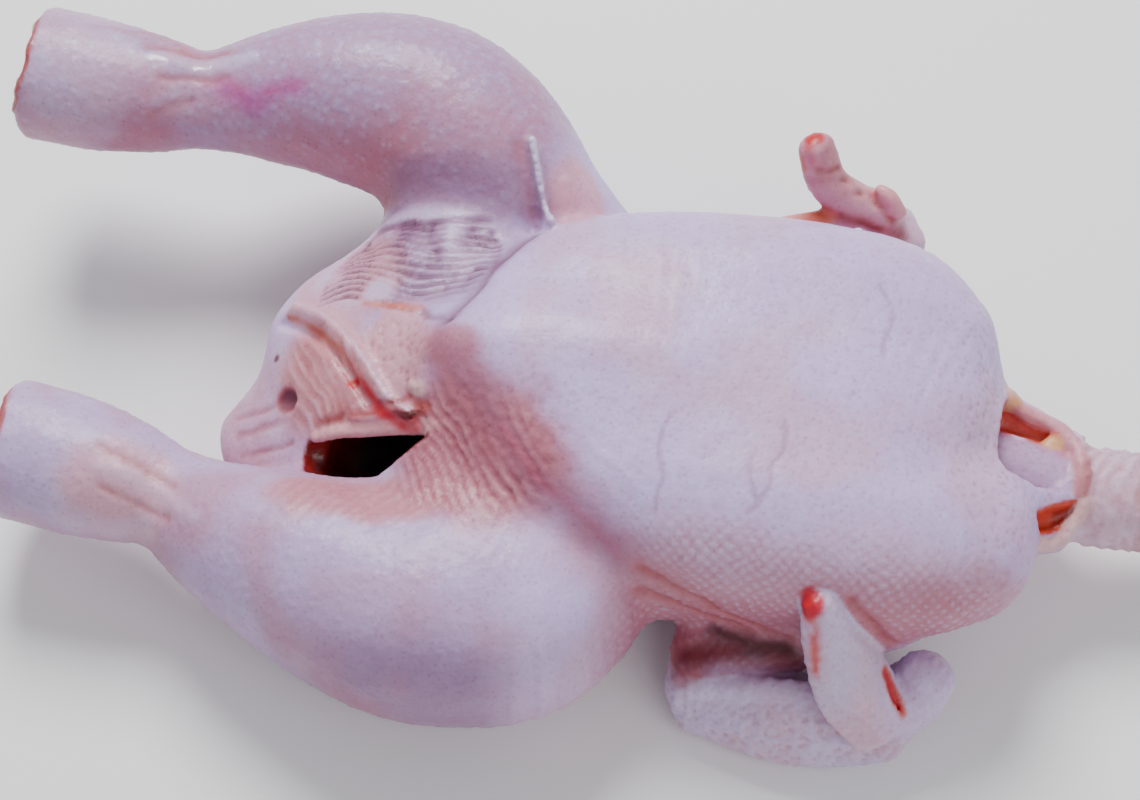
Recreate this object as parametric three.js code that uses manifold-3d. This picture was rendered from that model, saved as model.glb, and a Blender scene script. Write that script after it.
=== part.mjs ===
// A whole raw chicken, plucked and drawn, lying on its back.
//
// The bird is one closed solid. Its body, legs, wings, neck and tail are limbs: oval sections
// swept along smooth centre lines, given as a distance field and blended into one skin. The
// zero surface of that field is meshed, thinned to fewer triangles, and cut flat where the
// back rests.
//
// Millimetres, +Z up. +X points to the neck, -X to the legs and tail, and the breast is on top.
// The origin is the middle of the flat patch of the back that the bird rests on.

import * as THREE from 'three';
import { mergeVertices } from 'three/addons/utils/BufferGeometryUtils.js';
import Module from 'manifold-3d';

// ---------------------------------------------------------------- driving dimensions

const BACK_HEIGHT = 36; // centre line of the rib cage above the table
const BACK_HALF_WIDTH = 58; // the rib cage at its widest
const BREAST_HALF_WIDTH = 29; // one breast lobe
const BREAST_HALF_HEIGHT = 25;
const KEEL_HALF_WIDTH = 13.5; // the breastbone's ridge, under the skin
const CAVITY_HALF_WIDTH = 31; // the drawn body cavity
const CAVITY_HALF_HEIGHT = 23;
const LEG_HALF_WIDTH = 29.5; // thigh and drumstick at the knee
const WING_HALF_WIDTH = 11;
const NECK_RADIUS = 13;
const FOLD_HALF_WIDTH = 2.6; // a loose fold of skin
const CREASE_HALF_WIDTH = 2.4; // the crease beside it
const LINE_FADE = 8; // depth over which a fold or crease fades out
const RELIEF_REACH = 8; // distance from the skin within which folds are worked out

const GRID_STEP = 2.1; // spacing of the grid the field is meshed on
const BLOCK_CELLS = 5; // grid cells along a block that is tested as one
const TRIANGLE_BUDGET = 9600;
const CENTRE_LINE_STEPS = 5; // straight pieces between two stations of a limb
const FLOOR_SOFTNESS = 2.5; // rounding where the back meets the table
const FLOOR_SINK = 0.4; // how far the meshed skin dips under the table before it is cut flat
const CULL_MARGIN = 14; // how far round a form its field is worked out

// Sections along a leg from the hip to the cut hock: place along the limb as a fraction,
// then half width and half height as fractions of LEG_HALF_WIDTH.
const LEG_SECTIONS = [
  [0, 0.61, 0.73], [0.11, 0.8, 0.92], [0.25, 0.99, 1], [0.37, 1, 0.95], [0.49, 0.88, 0.85],
  [0.61, 0.7, 0.68], [0.72, 0.52, 0.48], [0.8, 0.6, 0.58], [0.9, 0.69, 0.62], [1, 0.7, 0.64],
];
const RIGHT_LEG_LINE = [
  [-22, 54.5, 32.5], [-40, 64.5, 38.5], [-60, 80, 47], [-80, 90.5, 52], [-111, 91, 54],
  [-142.5, 86.5, 54], [-168, 86.5, 56], [-192.5, 89, 57],
];
const LEFT_LEG_LINE = [
  [-15, -56, 30.5], [-26.5, -67.5, 32.5], [-45.5, -69.5, 33.5], [-69, -63, 34], [-91.5, -55, 34],
  [-116.5, -46, 33.5], [-136.5, -37, 33.5], [-159, -31, 34], [-182, -27, 34],
];

// ---------------------------------------------------------------- distance fields

// Smooth minimum: joins two distances with a fillet about `fillet` wide.
function blend(a, b, fillet) {
  const overlap = Math.max(fillet - Math.abs(a - b), 0) / fillet;
  return Math.min(a, b) - overlap * overlap * fillet * 0.25;
}

// Distance to an ellipsoid from offsets along its axes, near enough close to its surface.
function ovalDistance(u, v, w, ru, rv, rw) {
  const level = Math.hypot(u / ru, v / rv, w / rw);
  if (level < 0.35) return (level - 1) * Math.min(ru, rv, rw);
  return ((level - 1) * level) / Math.hypot(u / (ru * ru), v / (rv * rv), w / (rw * rw));
}

// An oval section swept along a smooth line. Each station is [x, y, z, half width, half height].
class Limb {
  constructor(stations, cap = 0.8) {
    const smooth = (points) => new THREE.CatmullRomCurve3(points, false, 'catmullrom');
    const line = smooth(stations.map(([x, y, z]) => new THREE.Vector3(x, y, z)));
    const girth = smooth(stations.map(([, , , width, height]) => new THREE.Vector3(width, height, 0)));
    const count = (stations.length - 1) * CENTRE_LINE_STEPS;
    this.pieces = [];
    this.bounds = new THREE.Box3();
    for (let i = 0; i < count; i += 1) {
      const start = line.getPoint(i / count);
      const end = line.getPoint((i + 1) / count);
      const startGirth = girth.getPoint(i / count);
      const endGirth = girth.getPoint((i + 1) / count);
      this.pieces.push(Limb.piece(start, end, startGirth, endGirth, cap));
      const reach = Math.max(startGirth.x, startGirth.y, endGirth.x, endGirth.y);
      this.bounds.union(new THREE.Box3().setFromPoints([start, end]).expandByScalar(reach));
    }
  }

  static piece(start, end, startGirth, endGirth, cap) {
    const along = end.clone().sub(start);
    const length = along.length();
    along.normalize();
    const side = new THREE.Vector3(0, 0, 1).cross(along).normalize();
    const up = along.clone().cross(side);
    return { start, along, side, up, length, startGirth, endGirth, cap };
  }

  distance(x, y, z) {
    let nearest = Infinity;
    for (const { start, along, side, up, length, startGirth, endGirth, cap } of this.pieces) {
      const dx = x - start.x;
      const dy = y - start.y;
      const dz = z - start.z;
      const reach = dx * along.x + dy * along.y + dz * along.z;
      const t = Math.min(Math.max(reach / length, 0), 1);
      const width = startGirth.x + t * (endGirth.x - startGirth.x);
      const height = startGirth.y + t * (endGirth.y - startGirth.y);
      const d = ovalDistance(
        dx * side.x + dy * side.y + dz * side.z,
        dx * up.x + dy * up.y + dz * up.z,
        reach - t * length,
        width,
        height,
        cap * Math.min(width, height),
      );
      if (d < nearest) nearest = d;
    }
    return nearest;
  }
}

class Oval {
  constructor([x, y, z], [rx, ry, rz]) {
    this.centre = new THREE.Vector3(x, y, z);
    this.radii = new THREE.Vector3(rx, ry, rz);
    this.bounds = new THREE.Box3().setFromCenterAndSize(this.centre, this.radii.clone().multiplyScalar(2));
  }

  distance(x, y, z) {
    const { centre, radii } = this;
    return ovalDistance(x - centre.x, y - centre.y, z - centre.z, radii.x, radii.y, radii.z);
  }
}

// Forms joined or cut one after another, each with its own fillet.
class Blend {
  constructor() {
    this.steps = [];
    this.bounds = new THREE.Box3();
  }

  step(form, fillet, sign) {
    const reach = form.bounds.clone().expandByScalar(CULL_MARGIN + fillet);
    this.steps.push({ form, fillet, sign, reach });
    return this;
  }

  add(form, fillet) {
    this.bounds.union(form.bounds);
    return this.step(form, fillet, 1);
  }

  cut(form, fillet) {
    return this.step(form, fillet, -1);
  }

  distance(x, y, z) {
    let d = 1000;
    for (const { form, fillet, sign, reach } of this.steps) {
      const { min, max } = reach;
      const near = x > min.x && x < max.x && y > min.y && y < max.y && z > min.z && z < max.z;
      if (near) d = sign * blend(sign * d, form.distance(x, y, z), fillet);
    }
    return d;
  }
}

// ---------------------------------------------------------------- the bird's forms

// Sections given as fractions along a line become the stations of a limb.
function sectionStations(line, sections, size) {
  const curve = new THREE.CatmullRomCurve3(line.map(([x, y, z]) => new THREE.Vector3(x, y, z)));
  return sections.map(([place, width, height]) => {
    const point = curve.getPointAt(place);
    return [point.x, point.y, point.z, width * size, height * size];
  });
}

// The rib cage, back and pelvis: [x, y, z, share of half width, half height].
function torso() {
  const spine = [
    [-82, 0.5, -8, 0.58, 30], [-62, 0.5, -4, 0.68, 34.5], [-30, 0.5, -1, 0.86, 39],
    [6, -1, 0, 0.98, 40], [42, -1, 0, 1, 40], [67, -4, 0, 0.88, 38], [80, -9, -1, 0.72, 32],
  ];
  const back = spine.map(([x, y, lift, width, height]) => [
    x, y, BACK_HEIGHT + lift, width * BACK_HALF_WIDTH, height,
  ]);
  const pelvis = [[-60.5, 18.5, 32.5, 38, 29], [-80.5, 15, 30.5, 34, 27], [-91.5, 9.5, 29, 29, 23.5]];
  const tail = [[-86, -6.5, 27, 27, 20], [-104, -9, 25, 21.5, 13.5], [-118, -13.5, 22.5, 11.5, 8]];
  return new Blend()
    .add(new Limb(back, 0.45), 10)
    .add(new Limb(pelvis, 0.9), 12)
    .add(new Limb(sectionStations(RIGHT_LEG_LINE, LEG_SECTIONS, LEG_HALF_WIDTH), 0.3), 12)
    .add(new Limb(sectionStations(LEFT_LEG_LINE, LEG_SECTIONS, LEG_HALF_WIDTH), 0.3), 12)
    .add(new Oval([-60, 41, 32], [28, 27, 29]), 12)
    .add(new Oval([-37, -50, 30], [39.5, 30.5, 30]), 14)
    .add(new Limb(tail), 8);
}

// The two breast lobes and the keel between them: [x, y, z, share of width, share of height].
function breast() {
  const rightLobe = [
    [-39, 18, 56.5, 0.63, 0.68], [-19.5, 26, 56.5, 0.88, 0.79], [10.5, 29.5, 54, 0.97, 0.96],
    [42, 30.5, 51.5, 1, 1], [66, 29.5, 48.5, 0.96, 0.98], [80, 24, 46, 0.76, 0.88],
  ];
  const leftLobe = [
    [-39, -8.5, 56, 0.69, 0.75], [-19.5, -19, 54, 0.9, 0.89], [10.5, -27, 52, 1.03, 1],
    [42, -31.5, 49.5, 1.03, 1.07], [72.5, -32.5, 45, 1.03, 1.04], [91.5, -31, 41.5, 0.81, 0.89],
  ];
  const keel = [
    [-53.5, 0.5, 66.5, 0.6, 9], [-30, 1.5, 68.5, 0.87, 11], [4, 1.5, 68.5, 1, 11],
    [33, 0.5, 64, 1, 11], [61.5, 0.5, 57.5, 1, 11],
  ];
  const lobe = (stations) => stations.map(([x, y, z, width, height]) => [
    x, y, z, width * BREAST_HALF_WIDTH, height * BREAST_HALF_HEIGHT,
  ]);
  return new Blend()
    .add(new Limb(lobe(rightLobe)), 14)
    .add(new Limb(lobe(leftLobe), 0.9), 14)
    .add(new Limb(keel.map(([x, y, z, width, height]) => [x, y, z, width * KEEL_HALF_WIDTH, height])), 20);
}

// Skin that hangs from the keel's point down to the vent and the left thigh.
function addBellySkin(bird) {
  const leftSkin = [[-54.5, -1, 65, 8, 8], [-60.5, -13.5, 54, 9, 9], [-57, -33.5, 45, 11, 11]];
  const rightSkin = [[-55.5, 2.5, 59.5, 10, 9], [-69.5, 13.5, 48.5, 14.5, 9], [-82.5, 26, 39.5, 14.5, 11]];
  bird.add(new Limb(leftSkin), 8).add(new Limb(rightSkin), 8);
}

// The hollow inside the rib cage and the slit it was drawn through.
function cutCavity(bird) {
  const hollow = [
    [-79.5, -23, 35.5, 0.4, 0.52], [-64.5, -16.5, 37, 0.68, 0.76], [-34.5, -6.5, 38, 0.96, 0.97],
    [6, -1, 38, 1, 1], [42, -1, 38, 0.8, 0.86],
  ];
  const slit = [
    [-93, -25, 49, 5, 9], [-85, -25.5, 52, 6, 9], [-74, -24.5, 56, 5.6, 10], [-62, -21, 57, 4, 8],
  ];
  const slitFloor = [[-91, -25, 46, 5.2, 7], [-76, -24.5, 43, 6.8, 9], [-64, -22, 44, 6.5, 9]];
  bird.cut(new Limb(hollow.map(([x, y, z, width, height]) => [
    x, y, z, width * CAVITY_HALF_WIDTH, height * CAVITY_HALF_HEIGHT,
  ])), 5);
  bird.cut(new Limb(slit), 2.5).cut(new Limb(slitFloor), 3);
}

// Loose skin round the neck's root, open on top, and the cut neck inside it.
function addNeck(bird) {
  const collar = [[81.5, -5, 33, 29.5, 25], [103, -6, 32.5, 25, 21], [122, -7.5, 30.5, 18, 15.5]];
  const opening = [[102, -4, 46, 15.5, 10], [118.5, -6.5, 41.5, 9, 7]];
  const neck = [[97.5, -4.5, 37, 0.85], [119.5, -8.5, 34, 0.9], [131, -8.5, 31, 1.05], [149, -8, 29, 1.05]];
  bird.add(new Limb(collar, 0.3), 8);
  bird.cut(new Limb(opening, 0.6), 3);
  bird.add(new Limb(neck.map(([x, y, z, girth]) => [
    x, y, z, girth * NECK_RADIUS, girth * NECK_RADIUS,
  ]), 0.3), 3);
}

// A wing folded back on itself, its tip pointing up beside the breast. Each line is followed by
// its girth along the line, as shares of WING_HALF_WIDTH.
function addWing(bird, { upperArm, forearm, rearEdge, wrist, hand, blade }) {
  const limb = (line, girths) => new Limb(line.map((point, i) => [
    ...point, girths[i][0] * WING_HALF_WIDTH, girths[i][1] * WING_HALF_WIDTH,
  ]));
  bird.add(limb(upperArm, [[1.25, 1.25], [1, 1], [1, 0.95]]), 5);
  bird.add(limb(forearm, [[0.9, 0.85], [1, 1], [0.92, 1]]), 3);
  if (rearEdge) bird.add(limb(rearEdge, [[0.75, 0.65], [0.75, 0.75], [0.75, 0.75]]), 3);
  bird.add(limb(wrist, [[0.85, 0.95], [0.75, 0.8]]), 3);
  bird.add(limb(hand, blade), 2);
}

const LEFT_WING = {
  upperArm: [[70.5, -49.5, 36], [43.5, -57, 23.5], [22, -64, 18]],
  forearm: [[20.5, -69.5, 12.5], [49, -76, 12.5], [77, -72, 15.5]],
  rearEdge: [[22, -75, 8], [51, -81, 8], [74.5, -78.5, 11]],
  wrist: [[81.5, -69.5, 18], [85, -66, 24.5]],
  hand: [[72, -80, 23], [63, -73, 34], [55.5, -66.5, 47], [51.5, -61.5, 57.5]],
  blade: [[0.95, 0.6], [1.1, 0.55], [0.75, 0.5], [0.4, 0.4]],
};
const RIGHT_WING = {
  upperArm: [[67, 53, 32.5], [42, 58.5, 20], [20.5, 63.5, 15.5]],
  forearm: [[18.5, 65.5, 12.5], [45.5, 68, 11.5], [70.5, 67.5, 15.5]],
  wrist: [[69, 69, 21.5], [71.5, 74.5, 29]],
  hand: [[70.5, 78, 30.5], [59, 80, 41.5], [49, 82, 52], [41.5, 84, 60.5]],
  blade: [[0.65, 0.6], [0.6, 0.55], [0.55, 0.5], [0.48, 0.45]],
};
const RIGHT_THUMB = { centre: [64.5, 78, 39.5], radii: [6.5, 5.5, 6.5] };

// The socket left where the foot was cut off, hollowed into the end of the hock.
const HOCK_SOCKETS = [[-218, 89, 57], [-208.5, -25.5, 34]];
const SOCKET_RADII = [24, 23, 23];

// Folds and creases in the skin, each a line seen from above. It stands `height` proud of the
// skin, or is sunk in it where that is negative, and fades out below the level `above`.
const VENT_EDGE = [[-105.5, 20], [-92.5, 10.5], [-81.5, -2], [-72.5, -14.5], [-65.5, -19.5]];
const GROIN_FOLDS = {
  count: 5,
  first: [[-83, 43], [-67, 40], [-50, 41]],
  last: [[-89, 17], [-69, 12.5], [-55, 10]],
};
const ANKLE_FOLDS = {
  count: 3,
  first: [[-158, 93], [-143, 91], [-125, 92]],
  last: [[-156, 78], [-143, 76.5], [-126, 78]],
};

function between({ count, first, last }) {
  const { lerp } = THREE.MathUtils;
  return Array.from({ length: count }, (_, i) => first.map(([x, y], p) => [
    lerp(x, last[p][0], i / (count - 1)), lerp(y, last[p][1], i / (count - 1)),
  ]));
}

const fold = (line, height, above) => ({ line, height, above, halfWidth: FOLD_HALF_WIDTH });
const crease = (line, depth, above) => ({ line, height: -depth, above, halfWidth: CREASE_HALF_WIDTH });

const SKIN_LINES = [
  fold(VENT_EDGE, 1.8, 36),
  crease(VENT_EDGE.map(([x, y]) => [x - 3.5, y - 3.5]), 1.4, 36),
  fold([[-40.5, 69.5], [-37, 58], [-32.5, 45]], 3.2, 50),
  crease([[-44.5, 68], [-41.5, 57], [-38, 46]], 1.4, 50),
  ...between(GROIN_FOLDS).map((line) => fold(line, 1.1, 40)),
  ...between(ANKLE_FOLDS).map((line) => fold(line, 0.8, 54)),
];

function distanceToLine(line, x, y) {
  let nearest = Infinity;
  for (let i = 1; i < line.length; i += 1) {
    const [ax, ay] = line[i - 1];
    const [dx, dy] = [line[i][0] - ax, line[i][1] - ay];
    const t = THREE.MathUtils.clamp(((x - ax) * dx + (y - ay) * dy) / (dx * dx + dy * dy), 0, 1);
    nearest = Math.min(nearest, Math.hypot(x - ax - t * dx, y - ay - t * dy));
  }
  return nearest;
}

function relief(x, y, z) {
  let sum = 0;
  for (const { line, height, halfWidth, above } of SKIN_LINES) {
    const fade = THREE.MathUtils.smoothstep(z, above, above + LINE_FADE);
    if (fade > 0) sum += height * fade * Math.exp(-((distanceToLine(line, x, y) / halfWidth) ** 2));
  }
  return sum;
}

function chickenField() {
  const bird = new Blend().add(torso(), 1).add(breast(), 6);
  for (const centre of HOCK_SOCKETS) bird.cut(new Oval(centre, SOCKET_RADII), 2);
  addBellySkin(bird);
  cutCavity(bird);
  addNeck(bird);
  addWing(bird, LEFT_WING);
  addWing(bird, RIGHT_WING);
  bird.add(new Oval(RIGHT_THUMB.centre, RIGHT_THUMB.radii), 3);
  return bird;
}

// ---------------------------------------------------------------- meshing the field

// The field on a regular grid. Blocks far from the skin take their middle's value.
function sampleField(field) {
  const low = field.bounds.min.clone().subScalar(2 * GRID_STEP);
  low.z = -3 * GRID_STEP;
  const span = field.bounds.max.clone().addScalar(2 * GRID_STEP).sub(low);
  const blocks = [span.x, span.y, span.z].map((side) => Math.ceil(side / (GRID_STEP * BLOCK_CELLS)));
  const [nx, ny, nz] = blocks.map((n) => n * BLOCK_CELLS);
  const values = new Float32Array(nx * ny * nz);
  const value = (i, j, k) => {
    const x = low.x + i * GRID_STEP;
    const y = low.y + j * GRID_STEP;
    const z = low.z + k * GRID_STEP;
    let d = field.distance(x, y, z);
    if (Math.abs(d) < RELIEF_REACH) d -= relief(x, y, z);
    return -blend(-d, z + FLOOR_SINK, FLOOR_SOFTNESS);
  };
  const farEnough = BLOCK_CELLS * GRID_STEP * 1.6;
  const middle = (BLOCK_CELLS - 1) / 2;
  for (let bi = 0; bi < nx; bi += BLOCK_CELLS) {
    for (let bj = 0; bj < ny; bj += BLOCK_CELLS) {
      for (let bk = 0; bk < nz; bk += BLOCK_CELLS) {
        const centre = value(bi + middle, bj + middle, bk + middle);
        const far = Math.abs(centre) > farEnough;
        for (let i = bi; i < bi + BLOCK_CELLS; i += 1) {
          for (let j = bj; j < bj + BLOCK_CELLS; j += 1) {
            for (let k = bk; k < bk + BLOCK_CELLS; k += 1) {
              values[(i * ny + j) * nz + k] = far ? centre : value(i, j, k);
            }
          }
        }
      }
    }
  }
  return { low, nx, ny, nz, values };
}

const CORNERS = [[0, 0, 0], [1, 0, 0], [0, 1, 0], [1, 1, 0], [0, 0, 1], [1, 0, 1], [0, 1, 1], [1, 1, 1]];
const CELL_EDGES = [
  [0, 1], [2, 3], [4, 5], [6, 7], [0, 2], [1, 3], [4, 6], [5, 7], [0, 4], [1, 5], [2, 6], [3, 7],
];

// The corners of a cell that are cut off, inside it, from most of their own side of the skin.
function strayCorners(inside) {
  const group = CORNERS.map((_, corner) => corner);
  for (let pass = 0; pass < CORNERS.length; pass += 1) {
    for (const [a, b] of CELL_EDGES) {
      if (inside[a] === inside[b]) group[a] = group[b] = Math.min(group[a], group[b]);
    }
  }
  const size = (label) => group.filter((other) => other === label).length;
  const largest = [true, false].map((side) => group
    .filter((_, corner) => inside[corner] === side)
    .reduce((best, label) => (best === null || size(label) > size(best) ? label : best), null));
  return group.flatMap((label, corner) => (largest.includes(label) ? [] : [corner]));
}

// Turns over stray corners, the nearest to the skin first, until each cell is crossed by one
// sheet of skin. The mesh then touches itself nowhere.
function partSheets({ nx, ny, nz, values }) {
  const turned = 0.1 * GRID_STEP;
  const known = new Map();
  const straysOf = (inside) => {
    const key = inside.join();
    if (!known.has(key)) known.set(key, strayCorners(inside));
    return known.get(key);
  };
  let found = true;
  while (found) {
    found = false;
    for (let i = 0; i < nx - 1; i += 1) {
      for (let j = 0; j < ny - 1; j += 1) {
        for (let k = 0; k < nz - 1; k += 1) {
          const places = CORNERS.map(([a, b, c]) => ((i + a) * ny + j + b) * nz + k + c);
          const inside = places.map((place) => values[place] < 0);
          if (inside.includes(!inside[0])) {
            const strays = straysOf(inside).map((corner) => places[corner]);
            if (strays.length > 0) {
              strays.sort((p, q) => Math.abs(values[p]) - Math.abs(values[q]));
              values[strays[0]] = values[strays[0]] < 0 ? turned : -turned;
              found = true;
            }
          }
        }
      }
    }
  }
}

// Surface nets: one point in each grid cell that the skin crosses, joined round each grid edge.
function surfaceNet({ low, nx, ny, nz, values }) {
  const at = (i, j, k) => (i * ny + j) * nz + k;
  const pointOfCell = new Int32Array(nx * ny * nz).fill(-1);
  const points = [];
  for (let i = 0; i < nx - 1; i += 1) {
    for (let j = 0; j < ny - 1; j += 1) {
      for (let k = 0; k < nz - 1; k += 1) {
        const corner = CORNERS.map(([a, b, c]) => values[at(i + a, j + b, k + c)]);
        const crossings = CELL_EDGES.filter(([a, b]) => corner[a] < 0 !== corner[b] < 0);
        if (crossings.length > 0) {
          const point = new THREE.Vector3();
          for (const [a, b] of crossings) {
            const t = corner[a] / (corner[a] - corner[b]);
            point.x += CORNERS[a][0] + t * (CORNERS[b][0] - CORNERS[a][0]);
            point.y += CORNERS[a][1] + t * (CORNERS[b][1] - CORNERS[a][1]);
            point.z += CORNERS[a][2] + t * (CORNERS[b][2] - CORNERS[a][2]);
          }
          point.divideScalar(crossings.length);
          pointOfCell[at(i, j, k)] = points.length;
          points.push(new THREE.Vector3(i, j, k).add(point).multiplyScalar(GRID_STEP).add(low));
        }
      }
    }
  }
  const triangles = [];
  const addQuad = (a, b, c, d, flip) => {
    const [p, q, r, s] = flip ? [a, d, c, b] : [a, b, c, d];
    const shortDiagonal = points[p].distanceTo(points[r]) < points[q].distanceTo(points[s]);
    if (shortDiagonal) triangles.push([p, q, r], [p, r, s]);
    else triangles.push([p, q, s], [q, r, s]);
  };
  for (let i = 1; i < nx - 1; i += 1) {
    for (let j = 1; j < ny - 1; j += 1) {
      for (let k = 1; k < nz - 1; k += 1) {
        const inside = values[at(i, j, k)] < 0;
        const cell = (a, b, c) => pointOfCell[at(i - a, j - b, k - c)];
        if (inside !== values[at(i + 1, j, k)] < 0) {
          addQuad(cell(0, 1, 1), cell(0, 0, 1), cell(0, 0, 0), cell(0, 1, 0), !inside);
        }
        if (inside !== values[at(i, j + 1, k)] < 0) {
          addQuad(cell(1, 0, 1), cell(1, 0, 0), cell(0, 0, 0), cell(0, 0, 1), !inside);
        }
        if (inside !== values[at(i, j, k + 1)] < 0) {
          addQuad(cell(1, 1, 0), cell(0, 1, 0), cell(0, 0, 0), cell(1, 0, 0), !inside);
        }
      }
    }
  }
  return { points, triangles };
}

// ---------------------------------------------------------------- thinning the mesh

// A quadric is the ten terms of the squared distance to a set of planes.
function addPlane(quadric, { x, y, z }, d, weight) {
  const n = [x, y, z, d];
  let term = 0;
  for (let r = 0; r < 4; r += 1) {
    for (let c = r; c < 4; c += 1) {
      quadric[term] += weight * n[r] * n[c];
      term += 1;
    }
  }
}

function quadricError(q, { x, y, z }) {
  return q[0] * x * x + 2 * q[1] * x * y + 2 * q[2] * x * z + 2 * q[3] * x + q[4] * y * y
    + 2 * q[5] * y * z + 2 * q[6] * y + q[7] * z * z + 2 * q[8] * z + q[9];
}

// The point of least error, or null where the planes don't fix one.
function quadricPoint(q) {
  const matrix = new THREE.Matrix3().set(q[0], q[1], q[2], q[1], q[4], q[5], q[2], q[5], q[7]);
  const scale = q[0] + q[4] + q[7];
  if (Math.abs(matrix.determinant()) < 1e-4 * scale ** 3) return null;
  return new THREE.Vector3(-q[3], -q[6], -q[8]).applyMatrix3(matrix.invert());
}

// A binary heap of edges, cheapest first.
class EdgeHeap {
  constructor() {
    this.items = [];
  }

  push(item) {
    const { items } = this;
    let i = items.push(item) - 1;
    while (i > 0) {
      const parent = (i - 1) >> 1;
      if (items[parent].cost <= items[i].cost) break;
      [items[parent], items[i]] = [items[i], items[parent]];
      i = parent;
    }
  }

  pop() {
    const { items } = this;
    const top = items[0];
    const last = items.pop();
    if (items.length > 0) {
      items[0] = last;
      let i = 0;
      for (;;) {
        const left = 2 * i + 1;
        let least = i;
        if (left < items.length && items[left].cost < items[least].cost) least = left;
        if (left + 1 < items.length && items[left + 1].cost < items[least].cost) least = left + 1;
        if (least === i) break;
        [items[least], items[i]] = [items[i], items[least]];
        i = least;
      }
    }
    return top;
  }
}

// Collapses the edges that change the skin least until `budget` triangles are left.
function thin({ points, triangles }, budget) {
  const LENGTH_WEIGHT = 0.002; // keeps flat areas evenly divided
  const around = points.map(() => new Set());
  triangles.forEach((triangle, t) => triangle.forEach((v) => around[v].add(t)));
  const quadrics = points.map(() => new Float64Array(10));
  const normalOf = (a, b, c) => b.clone().sub(a).cross(c.clone().sub(a));
  for (const [a, b, c] of triangles) {
    const normal = normalOf(points[a], points[b], points[c]);
    const area = normal.length() / 2;
    normal.normalize();
    for (const v of [a, b, c]) addPlane(quadrics[v], normal, -normal.dot(points[a]), area);
  }
  const neighbours = (v) => {
    const found = new Set();
    for (const t of around[v]) triangles[t].forEach((w) => found.add(w));
    found.delete(v);
    return found;
  };
  const version = new Uint32Array(points.length);
  const heap = new EdgeHeap();
  const pushEdge = (a, b) => {
    const quadric = quadrics[a].map((value, i) => value + quadrics[b][i]);
    const middle = points[a].clone().lerp(points[b], 0.5);
    const length = points[a].distanceTo(points[b]);
    const choices = [middle, points[a], points[b]];
    const best = quadricPoint(quadric);
    if (best && best.distanceTo(middle) < length) choices.unshift(best);
    let place = choices[0];
    for (const choice of choices) {
      if (quadricError(quadric, choice) < quadricError(quadric, place) - 1e-9) place = choice;
    }
    const cost = quadricError(quadric, place) + LENGTH_WEIGHT * length ** 4;
    heap.push({ a, b, cost, place: place.clone(), stamp: version[a] + version[b] });
  };
  for (let v = 0; v < points.length; v += 1) {
    for (const w of neighbours(v)) if (v < w) pushEdge(v, w);
  }

  // A collapse keeps the skin closed, unfolded and free of slivers.
  const allowed = (a, b, place) => {
    const shared = [...around[a]].filter((t) => around[b].has(t));
    const nextA = neighbours(a);
    const common = [...neighbours(b)].filter((v) => nextA.has(v));
    if (shared.length !== 2 || common.length !== 2) return false;
    for (const v of [a, b]) {
      for (const t of around[v]) {
        if (!shared.includes(t)) {
          const before = triangles[t].map((w) => points[w]);
          const after = triangles[t].map((w) => (w === v ? place : points[w]));
          const oldNormal = normalOf(...before).normalize();
          const newNormal = normalOf(...after);
          const doubleArea = newNormal.length();
          if (newNormal.dot(oldNormal) < 0.5 * doubleArea) return false;
          const longest = Math.max(
            after[0].distanceTo(after[1]), after[1].distanceTo(after[2]), after[2].distanceTo(after[0]),
          );
          if (doubleArea < 0.12 * longest * longest) return false;
        }
      }
    }
    return true;
  };

  let left = triangles.length;
  while (left > budget && heap.items.length > 0) {
    const { a, b, place, stamp } = heap.pop();
    const current = around[a].size > 0 && around[b].size > 0 && stamp === version[a] + version[b];
    if (current && allowed(a, b, place)) {
      for (const t of [...around[b]]) {
        if (around[a].has(t)) {
          triangles[t].forEach((v) => around[v].delete(t));
          triangles[t] = null;
          left -= 1;
        } else {
          triangles[t] = triangles[t].map((v) => (v === b ? a : v));
          around[a].add(t);
        }
      }
      around[b].clear();
      points[a] = place;
      quadrics[a] = quadrics[a].map((value, i) => value + quadrics[b][i]);
      version[a] += 1;
      for (const w of neighbours(a)) {
        version[w] += 1;
      }
      for (const w of neighbours(a)) {
        for (const x of neighbours(w)) pushEdge(Math.min(w, x), Math.max(w, x));
      }
    }
  }
  return { points, triangles: triangles.filter(Boolean) };
}

// ---------------------------------------------------------------- the solid

const wasm = await Module();
wasm.setup();

function toManifold(geometry) {
  geometry.deleteAttribute('normal');
  geometry.deleteAttribute('uv');
  const merged = mergeVertices(geometry);
  return new wasm.Manifold(new wasm.Mesh({
    numProp: 3,
    vertProperties: new Float32Array(merged.attributes.position.array),
    triVerts: new Uint32Array(merged.index.array),
  }));
}

function toGeometry(manifold) {
  const mesh = manifold.getMesh();
  const geometry = new THREE.BufferGeometry();
  geometry.setAttribute('position', new THREE.BufferAttribute(mesh.vertProperties, 3));
  geometry.setIndex(new THREE.BufferAttribute(mesh.triVerts, 1));
  geometry.computeVertexNormals();
  return geometry;
}

function skinGeometry({ points, triangles }) {
  const geometry = new THREE.BufferGeometry().setFromPoints(points);
  geometry.setIndex(triangles.flat());
  return geometry;
}

// The table under the bird, which cuts the back's rest patch truly flat.
function tableGeometry() {
  const depth = 20;
  return new THREE.BoxGeometry(800, 800, depth).translate(0, 0, -depth / 2);
}

const grid = sampleField(chickenField());
partSheets(grid);
const skin = thin(surfaceNet(grid), TRIANGLE_BUDGET);
const chicken = new THREE.Mesh(
  toGeometry(toManifold(skinGeometry(skin)).subtract(toManifold(tableGeometry()))),
  new THREE.MeshStandardMaterial({ color: 0xc3b4c6, roughness: 0.45, metalness: 0 }),
);
chicken.name = 'chicken';

const model = new THREE.Group();
model.add(chicken);

export default model;
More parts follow.
